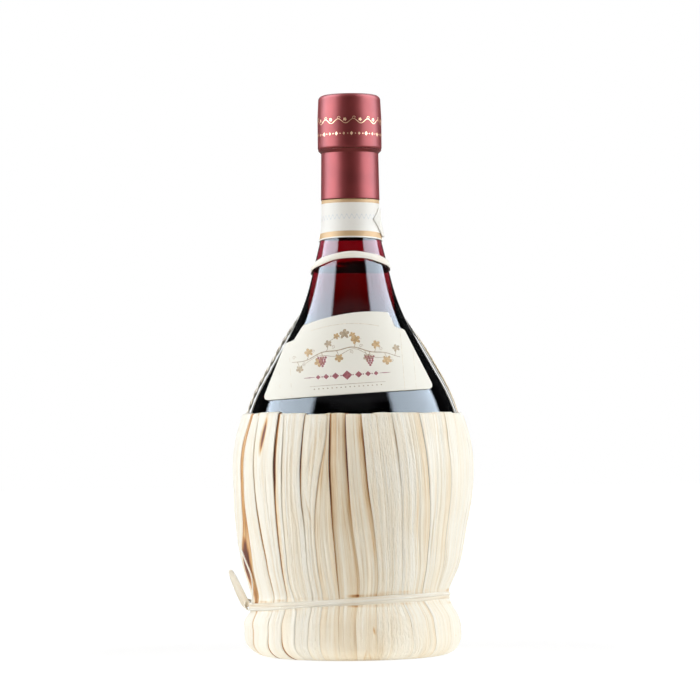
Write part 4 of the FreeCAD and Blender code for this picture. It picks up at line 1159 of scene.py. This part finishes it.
def label_print():
    """A vine garland over an ornamental rule, in sepia, gold-brown and burgundy."""
    prints = {name: Print(on_label, 0.44, 0.5) for name in LABEL_INKS}
    sepia, ochre, claret, faint = prints.values()
    vine = lambda x: 18.2 + 2.6 * math.cos(x / 9.0) + 0.5 * math.sin(x / 2.3)
    sepia.stroke(curve(lambda x: (x, vine(x)), -24.5, 24.5, 120), 0.5, 0.6)
    sepia.stroke(curve(lambda x: (x, vine(x) - 1.6 + 0.9 * math.sin(x / 3.1)), -21, 21, 110), 0.22, 0.5)
    for k, x in enumerate((-22, -17.5, -13, -8.5, -4, 4, 8.5, 13, 17.5, 22)):
        up = 1 if k % 2 else -1
        base = vine(x)
        tip = (x + 0.9, base + up * 2.7)
        sepia.stroke([(x, base), (x + 0.5, base + up * 1.2), tip], 0.25)
        leaf = ochre if k % 3 else sepia
        leaf.leaf(tip[0], tip[1] + up * 0.7, 1.75 + 0.25 * (k % 3), math.pi / 2 * up + 0.3 * (k % 2))
        sepia.stroke(curve(curl(x - 1.4, base - up * 2.0, 0.9, 0.11, k), 0, 7, 26), 0.16)
    for x in (-10.7, 10.7):
        base = vine(x) - 2.4
        sepia.stroke([(x, vine(x)), (x + 0.2, base + 0.6)], 0.3)
        for row, count in enumerate((4, 3, 3, 2, 1)):
            for k in range(count):
                claret.disc(x + (k - (count - 1) / 2) * 1.12, base - row * 0.95, 0.52)
    for x, size in ((0, 2.1), (-5.2, 1.5), (5.2, 1.5), (-9.4, 1.2), (9.4, 1.2), (-13, 1.0), (13, 1.0)):
        claret.lozenge(x, RULE, size * 1.1, size)
    for way in (-1, 1):
        claret.stroke([(way * x, RULE) for x in (14.5, 17, 19.5)][::way], 0.4, 0.7)
        for x in (2.7, 7.3, 11.2):
            claret.disc(way * x, RULE, 0.3)
        faint.stroke([(way * 25.4, r) for r in (0.4, 6, 12, 18, 24, 26.4)][::-way], 0.16)
        faint.stroke([(way * 30.6, r) for r in (0.4, 6, 12, 17.4)][::-way], 0.12)
    sepia.stroke(curve(lambda x: (x, 4.6), -17, 17, 30), 0.2, 0.5)
    for x in range(-15, 16, 2):
        sepia.lozenge(x, 3.3, 0.42, 0.3)
    arch = lambda x: (x, LABEL_TOP + LABEL_ARCH * (1 - (x / 19.0) ** 2) - 4.6)
    faint.stroke(curve(arch, -15.5, 15.5, 40), 0.2)
    sepia.leaf(0, 27.4, 2.3, math.pi / 2)
    for way in (-1, 1):
        ochre.leaf(way * 3.6, 26.6, 1.5, math.pi / 2 - way * 0.9)
        spray = curve(lambda t: (way * (1.2 + 1.6 * t), 25.4 + 0.8 * math.sin(t * 1.2)), 0, 4, 24)
        sepia.stroke(spray[::way], 0.2, 0.4)
    for name, colour in LABEL_INKS.items():
        prints[name].object(f"label_print_{name}", ink(f"{name}_ink", colour), "bottle", "label_paper")


def on_capsule(x, z, offset):
    """A length round the capsule's front and a height, laid on its head."""
    r = float(np.interp(z, (HEAD_BEND, 256.0), (HEAD_RADIUS, HEAD_TOP_RADIUS))) + offset
    return polar(r, -math.pi / 2 + x / HEAD_RADIUS, z)


def capsule_print():
    """A gilt tendril over a row of small lozenges, all the way round."""
    gilt = Print(on_capsule, -0.02, 0.03)
    count, low = 13, 238.9
    step = TAU * HEAD_RADIUS / count
    for x in (TAU * HEAD_RADIUS * k / count for k in range(count)):
        gilt.stroke(curve(lambda t: (x + step * t, 244.6 + 1.0 * math.sin(TAU * t)), 0, 1, 18), 0.26)
        gilt.stroke(curve(curl(x + 2.0, 246.0, 0.85, 0.1), 0, 6, 20), 0.18)
        gilt.leaf(x + 5.0, 245.3, 0.85, 1.2)
        for away, across, up in ((0.9, 0.75, 0.95), (4.5, 0.55, 0.7)):
            gilt.lozenge(x + away, low, across, up)
            gilt.disc(x + away + 1.8, low, 0.28)
    gilt.object("capsule_gilt", ink("gilt", (0.62, 0.42, 0.24, 1), 0.35, 0.6), "capsule", "capsule")


label_print()
capsule_print()


# Ties

LOOP_START, LOOP_SWEEP, LOOP_STEPS = 50, 410, 180
LOOP_LEVEL, LOOP_PITCH, LOOP_FRONT_RISE, LOOP_SAG = 177.27, 2.8, 3.3, 0.9
LOOP_OFF, LOOP_WIDTH, LOOP_HEIGHT = 0.75, 3.3, 0.85
CORD_LOW, CORD_HIGH = 109, 178.5
CORD_BOW_END = 0.62
# Side, offset, place behind the outline, width, height and tone, then the twist's pitch and phase, and the bow
SHOULDER_STRANDS = {
    "shoulder_cord_left_1": (-1, 1.15, -3, 0.95, 0.85, 0.14, (11.0, 0.0)),
    "shoulder_cord_left_2": (-1, 1.15, -3, 0.95, 0.85, 0.30, (11.0, math.pi)),
    "shoulder_cord_right_1": (1, 0.75, -4.5, 1.35, 0.6, 0.06),
    "shoulder_cord_right_2": (1, 1.0, 2.5, 1.2, 0.95, 0.6, None, 0.5),
}
TIE_GIRTH = 44.0
WAIST_SETTLE = SETTLE_Z.index(23)
KNOT_CENTRE, KNOT_SIZE, KNOT_TURNS, KNOT_POINTS = (-48.8, 0.6, 23.3), (1.6, 1.6, 2.2), 1.6, 49
HITCH_TURN, HITCH_REACH, HITCH_RISE, HITCH_OUT = 182, 29, 1.3, 0.3
TAIL_FACE = (-0.72, -0.66, 0.2)
TAIL = [
    (-49.0, 1.4, 22.0), (-50.5, 0.7, 24.4), (-52.0, 0.1, 27.7), (-53.8, -0.5, 31.8), (-55.6, -1.0, 36.0),
    (-57.3, -1.3, 40.0),
]
TAIL_WIDTHS = (0, 0.2, 0.45, 0.75, 0.92, 1), (4.6, 5.2, 5.2, 4.3, 3.1, 1.7)
LOOSE = [
    (-51.2, -16.4, 49.5), (-50.2, -17.4, 46.6), (-48.3, -19.6, 41.9), (-46.5, -20.4, 37.6), (-46.1, -17.6, 31.8),
    (-46.4, -15.0, 26.6), (-46.6, -14.6, 24.0),
]


def lobed(width, height, lobes=4, depth=0.1, count=20):
    """A flattened, grooved section."""
    turns = [TAU * k / count for k in range(count)]
    sizes = [(1 + depth * math.cos(lobes * t)) / 2 for t in turns]
    return [(width * math.cos(t) * s, height * math.sin(t) * s) for t, s in zip(turns, sizes)]


def eased_path(anchors, count, reach):
    """A smooth path by way of a few points."""
    steps, places = np.linspace(0, len(anchors) - 1, count), np.arange(len(anchors))
    return np.column_stack([eased(np.interp(steps, places, axis), reach) for axis in zip(*anchors)])


def neck_loop():
    """A flat band just over once round the lower neck, higher in front."""
    path, outward = [], []
    for i in range(LOOP_STEPS + 1):
        theta = math.radians(LOOP_START + LOOP_SWEEP * i / LOOP_STEPS)
        climb = LOOP_PITCH * (math.degrees(theta) - LOOP_START) / 360
        z = LOOP_LEVEL + climb - LOOP_FRONT_RISE * math.sin(theta) - LOOP_SAG * math.cos(2 * theta)
        slope = glass_radius(z + 0.5) - glass_radius(z - 0.5)
        out, up = 1.0 / math.hypot(1.0, slope), -slope / math.hypot(1.0, slope)
        path.append(polar(glass_radius(z) + LOOP_OFF * out, theta, z + LOOP_OFF * up))
        outward.append(polar(out, theta, up))

    def section(t):
        theta = math.radians(LOOP_START + LOOP_SWEEP * t)
        width = LOOP_WIDTH - 0.3 * max(0.0, -math.sin(theta)) + 0.22 * math.sin(7 * theta)
        end = 0.35 + 0.65 * smooth(min(t, 1 - t) / 0.03)
        return lobed(end * width, LOOP_HEIGHT, 5, 0.1 + 0.04 * math.sin(5 * theta))

    obj = sweep("neck_ring", path, outward, section, lambda t: (0.1 + 0.06 * math.sin(40 * t), 0, 0.4))
    place(obj, "bottle", "raffia", "neck_loop")


def cord_strand(name, side, off, back, width, height, tone, twist=None, bow=0.0):
    """A strand down one shoulder, from behind the neck to the rim; twist winds it round its own line."""
    line = outside_between(CORD_LOW, CORD_HIGH)[::-1]
    path, outward = [], []
    for (r, z), n, s in zip(line, -normals_of(line), run_along(line)):
        share = (z - CORD_LOW) / (CORD_HIGH - CORD_LOW)
        theta = math.radians(back + 34 * smooth((z - 138) / 30))
        lift = off + bow * math.sin(math.pi * min(1, max(0, share / CORD_BOW_END)))
        slide = 0.0
        if twist:
            turn = TAU * s / twist[0] + twist[1]
            lift, slide = lift + 0.32 * math.sin(turn), 0.42 * math.cos(turn)
        r += lift * n[0]
        theta += slide / r
        for points, (x, y, up) in ((path, polar(r, theta, z + lift * n[1])), (outward, polar(n[0], theta, n[1]))):
            points.append((side * x, y, up))
    return sweep(name, path, outward, lambda t: lobed(width, height, 3, 0.12, 14), lambda t: (tone, 0, off / 3))


def ring_strand(name, climb_start, climb_end, radius, width, height, tone, start, turns, seed):
    """A flat strand wound round the waist, drawn up a little at the hitch."""
    seeded = random.Random(seed)
    wander, roll = waves(3, 30, 90, seeded), waves(2, 40, 110, seeded)
    path, outward = [], []
    count = int(180 * turns) + 1
    for i in range(count):
        share = i / (count - 1)
        theta = start + turns * TAU * share
        hitched = bell(((math.degrees(theta) % 360) - HITCH_TURN) / HITCH_REACH)
        climb = climb_start + (climb_end - climb_start) * share + 0.22 * wander(theta * TIE_GIRTH)
        r = radius + SETTLE_OUT[WAIST_SETTLE] - SETTLE_LEFT[WAIST_SETTLE] * math.cos(theta) + HITCH_OUT * hitched
        path.append(polar(r, theta, waist_at(theta) + climb + HITCH_RISE * hitched))
        lean = 0.35 * roll(theta * TIE_GIRTH)
        outward.append(polar(math.cos(lean), theta, math.sin(lean)))
    tones = lambda t: (tone + 0.06 * math.sin(60 * t), 0, 0.1 * seed % 1)
    return sweep(name, path, outward, lambda t: lobed(width, height, 4, 0.14, 16), tones)


def loose_strand():
    """A narrow strip that has come away over the gap at the lower left."""
    path = eased_path(LOOSE, 49, 3)
    outward = unit(path * (1, 1, 0))
    obj = sweep("straw_loose", path, outward, lambda t: lobed(1.5, 0.5, 3, 0.1, 14), lambda t: (0.04, 0, 0.8))
    place(obj, "bottle", "straw")


def waist_tie():
    """Two turns and a thin strand over them, the hitch at the left and its flat tail."""
    obj = ring_strand("tie_winding", -1.15, 1.15, 44.6, 2.25, 0.95, 0.27, math.radians(172 - 720), 2, 1)
    place(obj, "bottle", "raffia", "waist_tie")
    obj = ring_strand("waist_tie_over", -1.9, 1.6, 45.25, 0.9, 0.5, 0.17, math.radians(180), 0.55, 2)
    place(obj, "bottle", "raffia")
    knot, outward = [], []
    (x, y, z), (across, along, up) = KNOT_CENTRE, KNOT_SIZE
    for share in np.linspace(0, 1, KNOT_POINTS):
        turn = TAU * KNOT_TURNS * share
        knot.append((x - across * math.cos(turn), y + along * share, z + up * math.sin(turn)))
        outward.append((-math.cos(turn), 0.0, math.sin(turn)))
    obj = sweep("tie_knot", knot, outward, lambda t: lobed(2.2, 0.9, 3, 0.12, 14), lambda t: (0.26, 0, 0.6))
    place(obj, "bottle", "raffia", "tie_hitch")
    tail = eased_path(TAIL, 41, 2)
    section = lambda t: lobed(float(np.interp(t, *TAIL_WIDTHS)), 0.45, 4, 0.12, 18)
    obj = sweep("tie_tail", tail, np.tile(TAIL_FACE, (len(tail), 1)), section, lambda t: (0.42 - 0.14 * t, 0, 0.3))
    place(obj, "bottle", "raffia")


neck_loop()
for strand, sizes in SHOULDER_STRANDS.items():
    place(cord_strand(strand, *sizes), "bottle", "raffia", strand[:-2])
loose_strand()
waist_tie()


# Cork and hoop, which keep their solids

def cork_material():
    s = Shader("cork_bark")
    cells, pits = s.noise(520.0, 3.0, 0.6), s.noise(260.0, 4.0, 0.7)
    pitted = s.fit(pits, 0.58, 0.68)
    tint = s.mix(s.fit(cells, 0.3, 0.7), (0.53, 0.33, 0.18, 1), (0.66, 0.46, 0.28, 1))
    s.set(Base_Color=s.mix(pitted, tint, (0.17, 0.09, 0.05, 1)))
    s.rough(cells, 0.7, 0.85)
    s.bump(s.math("SUBTRACT", cells, s.scaled(pitted, 0.8)), 0.4, 0.0004)
    return s.material


def cane_material():
    s = Shader("cane")
    streak = s.noise(300.0, 3.0, 0.6)
    s.set(Base_Color=s.mix(streak, (0.72, 0.56, 0.36, 1), (0.50, 0.35, 0.20, 1)))
    s.rough(streak, 0.5, 0.7)
    s.bump(streak, 0.3, 0.0004)
    return s.material


for node, material in (("cork", cork_material()), ("rim_hoop", cane_material())):
    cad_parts[node].data.materials.clear()
    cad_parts[node].data.materials.append(material)
